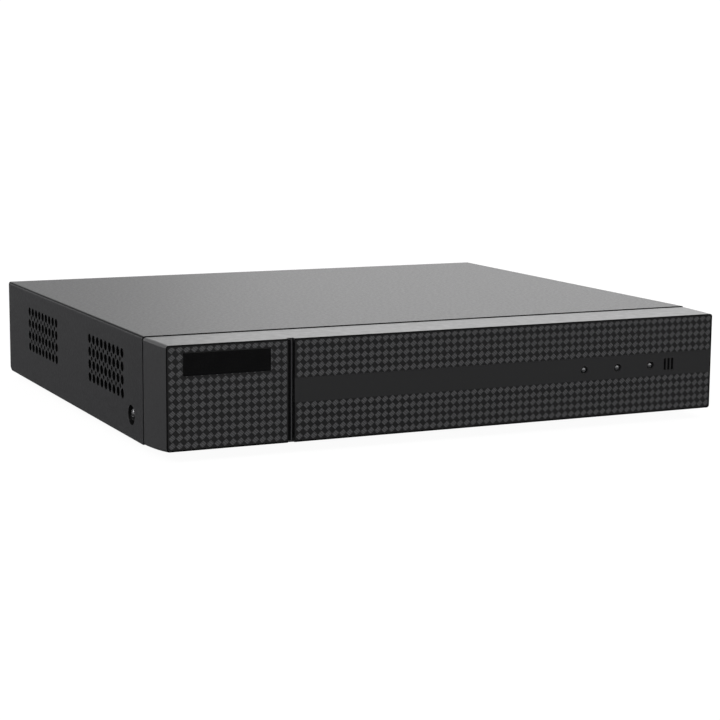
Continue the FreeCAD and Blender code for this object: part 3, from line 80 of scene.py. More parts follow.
def remapped(material, value, low, high, to_low, to_high):
    """A value's range stretched on to another range, and held at its ends."""
    made = node(material, "ShaderNodeMapRange",
                From_Min=low, From_Max=high, To_Min=to_low, To_Max=to_high)
    join(material, value, made.inputs["Value"])
    return made.outputs["Result"]


HORIZON, HORIZON_LIGHT = (-0.03, -0.003), (0.06, 1.06)
DOME_ACROSS, DOME_LIGHT = (-0.80, 0.75), (0.42, 1.04)
DOME_FROM = (0.05, 0.13)
sky = bpy.data.worlds.new("studio_sky")
sky.use_nodes = True
sky_way = node(sky, "ShaderNodeSeparateXYZ")
join(sky, node(sky, "ShaderNodeTexCoord").outputs["Generated"], sky_way.inputs["Vector"])
backdrop = remapped(sky, sky_way.outputs["Z"], *HORIZON, *HORIZON_LIGHT)
dome = remapped(sky, sky_way.outputs["X"], *DOME_ACROSS, *DOME_LIGHT)
sky_blend = node(sky, "ShaderNodeMix", data_type="FLOAT")
join(sky, remapped(sky, sky_way.outputs["Z"], *DOME_FROM, 0.0, 1.0), sky_blend.inputs["Factor"])
join(sky, backdrop, sky_blend.inputs["A"])
join(sky, dome, sky_blend.inputs["B"])
join(sky, sky_blend.outputs["Result"], sky.node_tree.nodes["Background"].inputs["Color"])
bpy.context.scene.world = sky


def soft_lamp(name, place, size, power):
    """A square soft box at place, turned towards the object."""
    data = bpy.data.lights.new(name, "AREA")
    data.size, data.energy = size, power
    lamp = bpy.data.objects.new(name, data)
    lamp.location = place
    lamp.rotation_euler = Vector(place).to_track_quat("Z", "Y").to_euler()
    bpy.context.scene.collection.objects.link(lamp)


soft_lamp("left_lamp", (-0.95, -0.60, 0.85), 0.26, 5.0)
soft_lamp("rim_lamp", (-1.30, 0.95, 0.45), 0.30, 1.8)
soft_lamp("back_lamp", (0.9, 1.2, 0.9), 1.2, 6.0)


def principled(name, colour, roughness, metallic=0.0, specular=0.5):
    """A material's Principled shader with its plain values set on its own sockets."""
    material = bpy.data.materials.new(name)
    material.use_nodes = True
    shader = material.node_tree.nodes["Principled BSDF"]
    shader.inputs["Base Color"].default_value = (*colour, 1.0)
    shader.inputs["Roughness"].default_value = roughness
    shader.inputs["Metallic"].default_value = metallic
    shader.inputs["Specular IOR Level"].default_value = specular
    return material


def surface_place(material):
    """Where a point of the surface is on the piece, in metres."""
    return node(material, "ShaderNodeTexCoord").outputs["Object"]


def grain(material, size, depth, detail=2.0, stretch=(1.0, 1.0, 1.0)):
    """Fine bumps of about that size and depth, in metres, longer along an axis whose stretch is small."""
    spread = node(material, "ShaderNodeMapping")
    spread.inputs["Scale"].default_value = stretch
    noise = node(material, "ShaderNodeTexNoise", Scale=1.0 / size, Detail=detail, Roughness=0.55)
    bump = node(material, "ShaderNodeBump", Strength=1.0, Distance=depth)
    shader = material.node_tree.nodes["Principled BSDF"]
    join(material, surface_place(material), spread.inputs["Vector"])
    join(material, spread.outputs["Vector"], noise.inputs["Vector"])
    join(material, noise.outputs["Fac"], bump.inputs["Height"])
    if shader.inputs["Normal"].is_linked:
        join(material, shader.inputs["Normal"].links[0].from_socket, bump.inputs["Normal"])
    join(material, bump.outputs["Normal"], shader.inputs["Normal"])


def two_tones(material, size, dark, light, low=0.35, high=0.65, detail=3.0):
    """Colour that wanders between two tones over patches of about that size."""
    noise = node(material, "ShaderNodeTexNoise", Scale=1.0 / size, Detail=detail)
    ramp = node(material, "ShaderNodeValToRGB")
    ramp.color_ramp.elements[0].position, ramp.color_ramp.elements[1].position = low, high
    ramp.color_ramp.elements[0].color, ramp.color_ramp.elements[1].color = (*dark, 1.0), (*light, 1.0)
    join(material, surface_place(material), noise.inputs["Vector"])
    join(material, noise.outputs["Fac"], ramp.inputs["Fac"])
    join(material, ramp.outputs["Color"], material.node_tree.nodes["Principled BSDF"].inputs["Base Color"])


def uneven_gloss(material, size, low, high):
    """Roughness that wanders between low and high over patches of about that size."""
    noise = node(material, "ShaderNodeTexNoise", Scale=1.0 / size, Detail=3.0)
    join(material, surface_place(material), noise.inputs["Vector"])
    join(material, remapped(material, noise.outputs["Fac"], 0.3, 0.7, low, high),
         material.node_tree.nodes["Principled BSDF"].inputs["Roughness"])


def finish_nodes(material, *names):
    """Gives the CAD pieces of those names this finish."""
    for name in names:
        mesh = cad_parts[name].data
        mesh.materials.clear()
        mesh.materials.append(material)


TABLE_SIZE, TABLE_GLOW, TABLE_DROP = 400.0, 0.95, 0.2 * MM
table_finish = principled("table_white", (0.09, 0.09, 0.09), 0.9, specular=0.0)
table_shader = table_finish.node_tree.nodes["Principled BSDF"]
table_shader.inputs["Emission Color"].default_value = (1.0, 1.0, 1.0, 1.0)
table_shader.inputs["Emission Strength"].default_value = TABLE_GLOW
grain(table_finish, 1.2 * MM, 0.02 * MM)
table_mesh = bpy.data.meshes.new("table")
table_form = bmesh.new()
bmesh.ops.create_grid(table_form, x_segments=1, y_segments=1, size=TABLE_SIZE / 2)
table_form.to_mesh(table_mesh)
table_form.free()
table_mesh.materials.append(table_finish)
table = bpy.data.objects.new("table", table_mesh)
table.location.z = -TABLE_DROP
bpy.context.scene.collection.objects.link(table)
table.visible_glossy = False


# ---- Case tray ------------------------------------------------------------------------------
# The tray is folded from 1 mm steel sheet, with its ears, fan bracket and drive bosses, and is
# powder-coated black after folding.  The coat is a fine, even orange peel with a dull sheen.
powder_coat = principled("powder_coat", (0.018, 0.018, 0.019), 0.45, specular=0.4)
two_tones(powder_coat, 0.9 * MM, (0.014, 0.014, 0.015), (0.023, 0.023, 0.025))
grain(powder_coat, 0.70 * MM, 0.050 * MM, detail=3.0)
uneven_gloss(powder_coat, 1.4 * MM, 0.41, 0.49)
finish_nodes(powder_coat, "base_tray")


def new_piece(name, form, finish, body):
    """Turns a bmesh into a piece of that finish, or of several, that moves with a body."""
    mesh = bpy.data.meshes.new(name)
    form.normal_update()
    form.to_mesh(mesh)
    form.free()
    for material in finish if isinstance(finish, (list, tuple)) else [finish]:
        mesh.materials.append(material)
    piece = bpy.data.objects.new(name, mesh)
    bpy.context.scene.collection.objects.link(piece)
    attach(piece, body)
    return piece


def add_form(form, extra, finish_index=0):
    """Moves one bmesh's faces into another, all in one of its finishes."""
    for face in extra.faces:
        face.material_index = finish_index
    carrier = bpy.data.meshes.new("carrier")
    extra.to_mesh(carrier)
    extra.free()
    form.from_mesh(carrier)
    bpy.data.meshes.remove(carrier)


def add_slab(form, low, high, rounding=0.0, finish_index=0):
    """Adds a box between two corners, with its edges rounded."""
    slab = bmesh.new()
    bmesh.ops.create_cube(slab, size=1.0)
    bmesh.ops.scale(slab, vec=Vector(high) - Vector(low), verts=slab.verts)
    bmesh.ops.translate(slab, vec=(Vector(high) + Vector(low)) / 2, verts=slab.verts)
    if rounding:
        bmesh.ops.bevel(slab, geom=slab.edges[:], offset=rounding, segments=2, affect="EDGES",
                        profile=0.5)
    add_form(form, slab, finish_index)


# The rating label is a blank silver film sticker on the underside, clear of the slots.
label_film = principled("label_film", (0.62, 0.63, 0.65), 0.35, metallic=0.6)
two_tones(label_film, 3 * MM, (0.58, 0.59, 0.61), (0.68, 0.69, 0.71))
grain(label_film, 0.4 * MM, 0.004 * MM)
tray_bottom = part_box("base_tray")[0].z
LABEL_PLACE, LABEL_SIZE = Vector((0.060, 0.040)), Vector((0.060, 0.034))
LABEL_THICK, LABEL_EDGE = 0.08 * MM, 0.03 * MM
label_form = bmesh.new()
add_slab(label_form, (*(LABEL_PLACE - LABEL_SIZE / 2), tray_bottom - LABEL_THICK),
         (*(LABEL_PLACE + LABEL_SIZE / 2), tray_bottom + LABEL_THICK / 4), LABEL_EDGE)
new_piece("rating_label", label_form, label_film, "chassis")


# ---- Feet -----------------------------------------------------------------------------------
# Four moulded rubber pads, stuck in shallow places on the underside.
foot_rubber = principled("foot_rubber", (0.020, 0.020, 0.020), 0.85, specular=0.3)
grain(foot_rubber, 0.5 * MM, 0.02 * MM)
two_tones(foot_rubber, 4 * MM, (0.016, 0.016, 0.016), (0.028, 0.027, 0.026))
finish_nodes(foot_rubber, "rubber_feet")


# ---- Front board ----------------------------------------------------------------------------
# A small green board with three pale lamps and a black buzzer, held by two screws to posts that are
# part of the front moulding.  A smoked moulding carries the lamps' light to three domes.
board_green = principled("board_green", (0.012, 0.10, 0.045), 0.30)
TRACK_WIDE, TRACK_LONG, TRACK_PATCHES, TRACK_DEEP = 0.16, 7.3, 0.12, 0.03 * MM
TRACK_FADE = (0.47, 0.50)


def add_tracks(material, mask, copper, pitch):
    """Copper tracks under a solder mask: thin square-cornered lines, broken up in patches."""
    tracks = node(material, "ShaderNodeTexBrick", Scale=1.0, Mortar_Size=pitch * TRACK_WIDE,
                  Brick_Width=pitch * TRACK_LONG, Row_Height=pitch, Mortar_Smooth=0.2, Bias=-1.0)
    patches = node(material, "ShaderNodeTexNoise", Scale=TRACK_PATCHES / pitch, Detail=1.0)
    meet = node(material, "ShaderNodeMath", operation="MULTIPLY")
    colours = node(material, "ShaderNodeValToRGB")
    colours.color_ramp.elements[0].color = (*mask, 1.0)
    colours.color_ramp.elements[1].color = (*copper, 1.0)
    raised = node(material, "ShaderNodeBump", Strength=0.6, Distance=TRACK_DEEP)
    shader = material.node_tree.nodes["Principled BSDF"]
    place = surface_place(material)
    join(material, place, tracks.inputs["Vector"])
    join(material, place, patches.inputs["Vector"])
    join(material, tracks.outputs["Fac"], meet.inputs[0])
    join(material, remapped(material, patches.outputs["Fac"], *TRACK_FADE, 0.0, 1.0), meet.inputs[1])
    join(material, meet.outputs["Value"], colours.inputs["Fac"])
    join(material, colours.outputs["Color"], shader.inputs["Base Color"])
    join(material, meet.outputs["Value"], raised.inputs["Height"])
    join(material, raised.outputs["Normal"], shader.inputs["Normal"])


add_tracks(board_green, (0.010, 0.085, 0.038), (0.03, 0.20, 0.075), 0.9 * MM)
grain(board_green, 0.6 * MM, 0.006 * MM)
finish_nodes(board_green, "front_board", "main_board", "drive_board")
lamp_white = principled("lamp_white", (0.72, 0.70, 0.58), 0.35)
grain(lamp_white, 0.3 * MM, 0.01 * MM)
finish_nodes(lamp_white, "status_lamps")
moulding_compound = principled("moulding_compound", (0.014, 0.014, 0.015), 0.55)
grain(moulding_compound, 0.22 * MM, 0.015 * MM)
two_tones(moulding_compound, 0.6 * MM, (0.011, 0.011, 0.012), (0.019, 0.019, 0.020))
finish_nodes(moulding_compound, "buzzer", "board_chips")
smoked_clear = principled("smoked_clear", (0.055, 0.055, 0.058), 0.07, specular=1.0)
smoked_clear.node_tree.nodes["Principled BSDF"].inputs["IOR"].default_value = 2.0
grain(smoked_clear, 0.8 * MM, 0.004 * MM)
finish_nodes(smoked_clear, "light_pipes")


# ---- Front moulding -------------------------------------------------------------------------
# One hollow moulding in black ABS with a fine spark texture.  It clips to the tray's front wall.  A
# deep groove divides the two face plates, and a thin gloss strip with a raised rib lines its floor.
# The strip's near-black colour is painted shade in the groove.
front_plastic = principled("front_plastic", (0.022, 0.022, 0.024), 0.38, specular=0.5)
grain(front_plastic, 0.28 * MM, 0.008 * MM)
uneven_gloss(front_plastic, 3 * MM, 0.34, 0.40)
two_tones(front_plastic, 0.9 * MM, (0.024, 0.024, 0.025), (0.031, 0.031, 0.033))
finish_nodes(front_plastic, "front_bezel")
bezel_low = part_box("front_bezel")[0]


def paint_shade(material, inside, dark=0.12):
    """Darkens colour and sheen with painted shade where inside is 1."""
    shader = material.node_tree.nodes["Principled BSDF"]
    keep = remapped(material, inside, 0.0, 1.0, 1.0, dark)
    dimmed = node(material, "ShaderNodeVectorMath", operation="SCALE")
    sheen = node(material, "ShaderNodeMath", operation="MULTIPLY")
    sheen.inputs[1].default_value = shader.inputs["Specular IOR Level"].default_value
    join(material, shader.inputs["Base Color"].links[0].from_socket, dimmed.inputs[0])
    join(material, keep, dimmed.inputs["Scale"])
    join(material, dimmed.outputs["Vector"], shader.inputs["Base Color"])
    join(material, keep, sheen.inputs[0])
    join(material, sheen.outputs["Value"], shader.inputs["Specular IOR Level"])


def compared(material, value, operation, limit):
    """1 where a value is beyond a limit, and 0 elsewhere."""
    made = node(material, "ShaderNodeMath", operation=operation)
    join(material, value, made.inputs[0])
    made.inputs[1].default_value = limit
    return made.outputs["Value"]


# The rim round the plates is darkened with painted shade.
RIM_DEEP = 0.35 * MM
front_split = node(front_plastic, "ShaderNodeSeparateXYZ")
join(front_plastic, surface_place(front_plastic), front_split.inputs["Vector"])
rim_shade = compared(front_plastic, front_split.outputs["Y"], "LESS_THAN", bezel_low.y + RIM_DEEP)
paint_shade(front_plastic, rim_shade)
# Painted shade: the groove strip is near black to darken the groove floor.
groove_gloss_and_shade = principled("groove_gloss_and_shade", (0.0025, 0.0025, 0.0027), 0.25, specular=0.3)
grain(groove_gloss_and_shade, 0.8 * MM, 0.003 * MM)
rib_satin = principled("rib_satin", (0.035, 0.035, 0.037), 0.35)
grain(rib_satin, 0.4 * MM, 0.004 * MM)
left_low, left_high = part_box("left_faceplate")
right_low, right_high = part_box("right_faceplate")
GROOVE_FLOOR, STRIP_THICK = 2.0 * MM, 0.3 * MM
RIB_FROM_RIGHT, RIB_WIDE, RIB_SUNK, RIB_EDGE = 1.1 * MM, 0.3 * MM, 0.5 * MM, 0.06 * MM
groove_form = bmesh.new()
add_slab(groove_form, (left_high.x, bezel_low.y + GROOVE_FLOOR - STRIP_THICK, left_low.z),
         (right_low.x, bezel_low.y + GROOVE_FLOOR + STRIP_THICK / 4, left_high.z))
add_slab(groove_form, (right_low.x - RIB_FROM_RIGHT - RIB_WIDE, bezel_low.y + RIB_SUNK, left_low.z),
         (right_low.x - RIB_FROM_RIGHT, bezel_low.y + GROOVE_FLOOR, left_high.z), RIB_EDGE, 1)
new_piece("groove_strip", groove_form, [groove_gloss_and_shade, rib_satin], "chassis")


# ---- Face plates ----------------------------------------------------------------------------
# Two black plastic plates stuck into seats in the front.  Raised leaning diamonds stand on them in a
# woven checker, with pressed fibre lines, and a smooth satin band crosses the long plate.
WEAVE_STEP_X, WEAVE_STEP_Z = 3.20 * MM, 3.19 * MM
WEAVE_LEAN, WEAVE_TURN, WEAVE_RISE = 0.17, 0.07, 0.10 * MM
WEAVE_FOOT, WEAVE_EDGE, LEAST_TILE = 0.96, 0.91, 0.1
FIBRE_PITCH, FIBRE_DEEP = 0.80 * MM, 0.03 * MM
DIAMOND_START = Vector((left_high.x + 40.36 * MM, left_low.z + 8.02 * MM))
BAND_LOW, BAND_HIGH = bezel_low.z + 17.6 * MM, bezel_low.z + 27.6 * MM
BAND_COLOUR = (0.0125, 0.0125, 0.0132)


def fibre_plastic(name, dark, light, turn, roughness, banded=False):
    """Satin plastic with fine lines pressed in at that turn; banded, it is smooth in the band."""
    material = principled(name, light, roughness, specular=0.35)
    turned = node(material, "ShaderNodeMapping")
    turned.inputs["Rotation"].default_value = (0.0, math.radians(turn), 0.0)
    lines = node(material, "ShaderNodeTexWave", Scale=math.pi / (10.0 * FIBRE_PITCH), Distortion=0.4,
                 Detail=1.0)
    lines.bands_direction = "X"
    colours = node(material, "ShaderNodeValToRGB")
    colours.color_ramp.elements[0].color = (*dark, 1.0)
    colours.color_ramp.elements[1].color = (*light, 1.0)
    pressed = node(material, "ShaderNodeBump", Strength=0.5, Distance=FIBRE_DEEP)
    shader = material.node_tree.nodes["Principled BSDF"]
    height, colour = lines.outputs["Fac"], colours.outputs["Color"]
    join(material, surface_place(material), turned.inputs["Vector"])
    join(material, turned.outputs["Vector"], lines.inputs["Vector"])
    join(material, height, colours.inputs["Fac"])
    if banded:
        split = node(material, "ShaderNodeSeparateXYZ")
        in_band = node(material, "ShaderNodeMath", operation="COMPARE")
        in_band.inputs[1].default_value = (BAND_LOW + BAND_HIGH) / 2
        in_band.inputs[2].default_value = (BAND_HIGH - BAND_LOW) / 2
        smooth = node(material, "ShaderNodeMix", data_type="RGBA")
        flat = node(material, "ShaderNodeMath", operation="MULTIPLY")
        join(material, surface_place(material), split.inputs["Vector"])
        join(material, split.outputs["Z"], in_band.inputs[0])
        join(material, in_band.outputs["Value"], smooth.inputs["Factor"])
        join(material, colour, smooth.inputs["A"])
        smooth.inputs["B"].default_value = (*BAND_COLOUR, 1.0)
        join(material, remapped(material, in_band.outputs["Value"], 0.0, 1.0, 1.0, 0.0), flat.inputs[0])
        join(material, height, flat.inputs[1])
        height, colour = flat.outputs["Value"], smooth.outputs["Result"]
    join(material, colour, shader.inputs["Base Color"])
    join(material, height, pressed.inputs["Height"])
    join(material, pressed.outputs["Normal"], shader.inputs["Normal"])
    return material


GROUND_DARK, GROUND_LIGHT = (0.0035, 0.0035, 0.0038), (0.0055, 0.0055, 0.006)
RAISED_DARK, RAISED_LIGHT = (0.024, 0.024, 0.025), (0.064, 0.064, 0.067)
GROUND_TURN, RAISED_TURN = -40.0, 50.0
plate_ground = fibre_plastic("plate_ground", GROUND_DARK, GROUND_LIGHT, GROUND_TURN, 0.50)
banded_ground = fibre_plastic("banded_ground", GROUND_DARK, GROUND_LIGHT, GROUND_TURN, 0.40, banded=True)
raised_diamond = fibre_plastic("raised_diamond", RAISED_DARK, RAISED_LIGHT, RAISED_TURN, 0.42)
finish_nodes(plate_ground, "left_faceplate")
finish_nodes(banded_ground, "right_faceplate")


def clipped(outline, axis, limit, keep_above):
    """The part of a convex outline on one side of a line square to an axis."""
    kept = []
    for start, end in zip(outline, outline[1:] + outline[:1]):
        inside, next_inside = [(point[axis] >= limit) == keep_above for point in (start, end)]
        if inside:
            kept.append(start)
        if inside != next_inside:
            kept.append(start + (end - start) * ((limit - start[axis]) / (end[axis] - start[axis])))
    return kept


def add_tile(form, outline, ground_y):
    """A low raised tile with sloping sides on a face that looks along -Y."""
    middle = sum(outline, Vector((0, 0))) / len(outline)
    spread = [point - middle for point in outline]
    foot = [form.verts.new((middle.x + reach.x, ground_y, middle.y + reach.y))
            for reach in (point * WEAVE_FOOT for point in spread)]
    top = [form.verts.new((middle.x + reach.x, ground_y - WEAVE_RISE, middle.y + reach.y))
           for reach in (point * WEAVE_EDGE for point in spread)]
    form.faces.new(top)
    form.faces.new(foot[::-1])
    for here in range(len(outline)):
        beyond = (here + 1) % len(outline)
        form.faces.new((foot[here], foot[beyond], top[beyond], top[here]))


def weave(name, ground_y, regions, hole=None):
    """The raised diamonds of one plate, cut off at the edges of its regions and round the badge."""
    form = bmesh.new()
    half_x, half_z = WEAVE_STEP_X / 2, WEAVE_STEP_Z / 2
    corners = [Vector((-half_x, -half_z * WEAVE_TURN)), Vector((-half_x * WEAVE_LEAN, -half_z)),
               Vector((half_x, half_z * WEAVE_TURN)), Vector((half_x * WEAVE_LEAN, half_z))]
    least_area = LEAST_TILE * half_x ** 2
    for (left, right), (bottom, top) in regions:
        columns = range(math.floor((left - DIAMOND_START.x) / WEAVE_STEP_X),
                        math.ceil((right - DIAMOND_START.x) / WEAVE_STEP_X) + 1)
        rows = range(math.floor((bottom - DIAMOND_START.y) / WEAVE_STEP_Z),
                     math.ceil((top - DIAMOND_START.y) / WEAVE_STEP_Z) + 1)
        limits = ((0, left, True), (0, right, False), (1, bottom, True), (1, top, False))
        for column, row in ((column, row) for column in columns for row in rows):
            middle = DIAMOND_START + Vector((column * WEAVE_STEP_X, row * WEAVE_STEP_Z))
            tile = [middle + corner for corner in corners]
            for axis, limit, above in limits:
                tile = clipped(tile, axis, limit, above) if tile else tile
            if tile and hole:
                (hole_left, hole_right), (hole_low, hole_high) = hole
                gaps = [hole_left - middle.x, middle.x - hole_right,
                        hole_low - middle.y, middle.y - hole_high]
                side = gaps.index(max(gaps))
                if max(gaps) < half_x:
                    tile = clipped(tile, side // 2, hole[side // 2][side % 2], side % 2 == 1)
            doubled_area = abs(sum(a.cross(b) for a, b in zip(tile, tile[1:] + tile[:1])))
            if len(tile) > 2 and doubled_area > least_area:
                add_tile(form, tile, ground_y)
    return new_piece(name, form, raised_diamond, "chassis")


EDGE_GAP, BAND_STEP = 0.30 * MM, 0.13 * MM
badge_low, badge_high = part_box("badge_plate")
left_span = (left_low.x + EDGE_GAP, left_high.x - EDGE_GAP)
right_span = (right_low.x + EDGE_GAP, right_high.x - EDGE_GAP)
plate_span = (left_low.z + EDGE_GAP, left_high.z - EDGE_GAP)
weave("left_weave", left_low.y, [(left_span, plate_span)],
      hole=((badge_low.x - EDGE_GAP / 2, badge_high.x + EDGE_GAP / 2),
            (badge_low.z - EDGE_GAP / 2, badge_high.z + EDGE_GAP / 2)))
weave("right_weave", right_low.y + BAND_STEP,
      [(right_span, (plate_span[0], BAND_LOW)), (right_span, (BAND_HIGH, plate_span[1]))])


def add_ring(form, middle, axis, ring_radius, tube_radius, finish_index=0, around=40, across=10):
    """Adds a round ring about an axis, which is 0 for X, 1 for Y and 2 for Z."""
    turned = {0: Matrix.Rotation(math.pi / 2, 3, "Y"), 1: Matrix.Rotation(math.pi / 2, 3, "X"),
              2: Matrix.Identity(3)}[axis]
    ring = bmesh.new()
    loops = []
    for n in range(around):
        angle = 2 * math.pi * n / around
        loop = []
        for m in range(across):
            tilt = 2 * math.pi * m / across
            reach = ring_radius + tube_radius * math.cos(tilt)
            point = Vector((reach * math.cos(angle), reach * math.sin(angle), tube_radius * math.sin(tilt)))
            loop.append(ring.verts.new(turned @ point + Vector(middle)))
        loops.append(loop)
    for n, loop in enumerate(loops):
        beyond = loops[(n + 1) % around]
        for m in range(across):
            ring.faces.new((loop[m], beyond[m], beyond[(m + 1) % across], loop[(m + 1) % across]))
    add_form(form, ring, finish_index)


SAME_POINT = 0.002 * MM


def separate_boxes(name):
    """The lowest and highest corners of each separate solid in a CAD piece, in order along X."""
    form = bmesh.new()
    form.from_mesh(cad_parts[name].data)
    bmesh.ops.remove_doubles(form, verts=form.verts, dist=SAME_POINT)
    waiting, boxes = set(form.verts), []
    while waiting:
        reached, places = [waiting.pop()], []
        while reached:
            vertex = reached.pop()
            places.append(vertex.co.copy())
            beside = {edge.other_vert(vertex) for edge in vertex.link_edges} & waiting
            waiting -= beside
            reached += beside
        boxes.append(tuple(Vector([end(place[axis] for place in places) for axis in range(3)])
                           for end in (min, max)))
    form.free()
    return sorted(boxes, key=lambda corners: (corners[0].x, corners[0].y))


# Each dome stands in a hole whose edge has a thin gloss ring.
ring_gloss = principled("ring_gloss", (0.004, 0.004, 0.0045), 0.12, specular=0.7)
grain(ring_gloss, 0.5 * MM, 0.002 * MM)
RING_RADIUS, RING_TUBE = 1.72 * MM, 0.16 * MM
ring_form = bmesh.new()
for lamp_low, lamp_high in separate_boxes("status_lamps"):
    lamp_middle = (lamp_low + lamp_high) / 2
    ring_middle = (lamp_middle.x, right_low.y + RING_TUBE / 2, lamp_middle.z)
    add_ring(ring_form, ring_middle, 1, RING_RADIUS, RING_TUBE)
new_piece("lamp_rings", ring_form, ring_gloss, "chassis")


# ---- Badge ----------------------------------------------------------------------------------
# A blank, polished black plate with softened edges, pressed into its seat in the left plate.
badge_gloss = principled("badge_gloss", (0.0016, 0.0016, 0.0018), 0.12, specular=0.5)
grain(badge_gloss, 2.5 * MM, 0.002 * MM)
uneven_gloss(badge_gloss, 6 * MM, 0.10, 0.16)
finish_nodes(badge_gloss, "badge_plate")


# ---- Board parts ----------------------------------------------------------------------------
# The main board stands on seven round posts and carries the processor under its heatsink, the
# memory, the supply's coils and cans, the clock cell and the headers that the leads plug into.
zinc_plate = principled("zinc_plate", (0.58, 0.58, 0.56), 0.32, metallic=1.0)
grain(zinc_plate, 0.5 * MM, 0.006 * MM)
two_tones(zinc_plate, 1.5 * MM, (0.50, 0.50, 0.48), (0.66, 0.66, 0.64))
finish_nodes(zinc_plate, "board_standoffs", "board_screws", "side_screw_nuts", "vga_jack_screws",
             "ground_screw", "drive_screws", "fan_screws")
heatsink_metal = principled("heatsink_metal", (0.42, 0.43, 0.45), 0.38, metallic=1.0)
grain(heatsink_metal, 0.5 * MM, 0.01 * MM, stretch=(1.0, 0.06, 1.0))
two_tones(heatsink_metal, 2 * MM, (0.38, 0.39, 0.41), (0.47, 0.48, 0.50))
finish_nodes(heatsink_metal, "heatsink")
can_metal = principled("can_metal", (0.62, 0.63, 0.65), 0.30, metallic=1.0)
grain(can_metal, 0.6 * MM, 0.004 * MM)
two_tones(can_metal, 2 * MM, (0.56, 0.57, 0.60), (0.68, 0.69, 0.71))
finish_nodes(can_metal, "capacitors", "clock_cell")
coil_ferrite = principled("coil_ferrite", (0.06, 0.06, 0.065), 0.6)
grain(coil_ferrite, 0.25 * MM, 0.03 * MM)
two_tones(coil_ferrite, 0.7 * MM, (0.045, 0.045, 0.05), (0.08, 0.08, 0.085))
finish_nodes(coil_ferrite, "power_coils")
cream_nylon = principled("cream_nylon", (0.72, 0.68, 0.56), 0.45)
grain(cream_nylon, 0.5 * MM, 0.01 * MM)
two_tones(cream_nylon, 3 * MM, (0.68, 0.64, 0.52), (0.76, 0.72, 0.60))
finish_nodes(cream_nylon, "board_headers", "lead_plugs")
black_nylon = principled("black_nylon", (0.012, 0.012, 0.012), 0.42)
grain(black_nylon, 0.4 * MM, 0.01 * MM)
two_tones(black_nylon, 2 * MM, (0.010, 0.010, 0.010), (0.016, 0.016, 0.016))
finish_nodes(black_nylon, "cell_holder", "video_socket_housings", "audio_socket_housing", "lan_insert",
             "socket_tongues", "power_socket", "drive_socket")

# Tinned legs run from each chip's side down to the board, on two sides or all four.
solder_tin = principled("solder_tin", (0.62, 0.62, 0.60), 0.35, metallic=1.0)
grain(solder_tin, 0.3 * MM, 0.01 * MM)
LEG_PITCH, LEG_WIDE, LEG_OUT, LEG_THICK = 0.8 * MM, 0.36 * MM, 1.1 * MM, 0.16 * MM
LEG_SHOULDER, LEG_BEND, LEG_KNEE = 0.45, (0.35, 0.5), 0.45
board_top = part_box("main_board")[1].z
leg_form = bmesh.new()
for chip_low, chip_high in separate_boxes("board_chips"):
    chip_size = chip_high - chip_low
    sides = (0, 1) if abs(chip_size.x - chip_size.y) < MM else (int(chip_size.x > chip_size.y),)
    shoulder = chip_low.z + chip_size.z * LEG_SHOULDER
    leg_parts = ((0.0, LEG_KNEE, shoulder - LEG_THICK, shoulder),
                 (*LEG_BEND, board_top, shoulder),
                 (LEG_KNEE, 1.0, board_top, board_top + LEG_THICK))
    for across in sides:
        along = 1 - across
        count = int((chip_size[along] - LEG_PITCH) / LEG_PITCH)
        for n in range(count):
            middle = chip_low[along] + chip_size[along] / 2 + (n - (count - 1) / 2) * LEG_PITCH
            for edge, way in ((chip_low[across], -1), (chip_high[across], 1)):
                for start, end, low, high in leg_parts:
                    span = sorted(edge + way * LEG_OUT * part for part in (start, end))
                    corners = [[0, 0, low], [0, 0, high]]
                    for corner, place, side in zip(corners, span, (-1, 1)):
                        corner[across], corner[along] = place, middle + side * LEG_WIDE / 2
                    add_slab(leg_form, *corners)
new_piece("chip_legs", leg_form, solder_tin, "chassis")

# A gold-plated ring lies round each board screw.
pad_gold = principled("pad_gold", (0.70, 0.52, 0.24), 0.30, metallic=1.0)
grain(pad_gold, 0.3 * MM, 0.004 * MM)
PAD_RADIUS, PAD_THICK, PAD_SIDES = 3.9 * MM, 0.06 * MM, 32
pad_form = bmesh.new()
for post_low, post_high in separate_boxes("board_standoffs"):
    post_middle = (post_low + post_high) / 2
    pad = bmesh.new()
    bmesh.ops.create_cone(pad, cap_ends=True, segments=PAD_SIDES, radius1=PAD_RADIUS, radius2=PAD_RADIUS,
                          depth=PAD_THICK)
    bmesh.ops.translate(pad, vec=(post_middle.x, post_middle.y, board_top), verts=pad.verts)
    add_form(pad_form, pad)
new_piece("screw_pads", pad_form, pad_gold, "chassis")

# Small parts in jittered rows between the clock cell and the sockets: a body with two tinned ends,
# tan for capacitors and black for resistors.
ceramic_tan = principled("ceramic_tan", (0.36, 0.24, 0.13), 0.45)
grain(ceramic_tan, 0.2 * MM, 0.006 * MM)
SMALL_LONG, SMALL_WIDE, SMALL_HIGH, SMALL_END = 1.7 * MM, 0.9 * MM, 0.6 * MM, 0.35 * MM
SMALL_STEP, SMALL_JITTER, SMALL_EDGE, SMALL_SKIN = 3.6 * MM, 0.8 * MM, 0.05 * MM, 0.02 * MM
SMALL_MISSING, SMALL_TURNED, SMALL_BLACK = 0.3, 0.5, 0.4
COIL_CLEAR, CELL_CLEAR, AUDIO_CLEAR = 4 * MM, 3 * MM, Vector((12 * MM, 5 * MM))
audio_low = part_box("audio_socket_housing")[0]
SMALL_SPACE_X = (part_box("power_coils")[1].x + COIL_CLEAR, audio_low.x - AUDIO_CLEAR.x)
SMALL_SPACE_Y = (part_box("cell_holder")[1].y + CELL_CLEAR, audio_low.y - AUDIO_CLEAR.y)
DICE_SEED = 7
dice = random.Random(DICE_SEED)
small_form = bmesh.new()
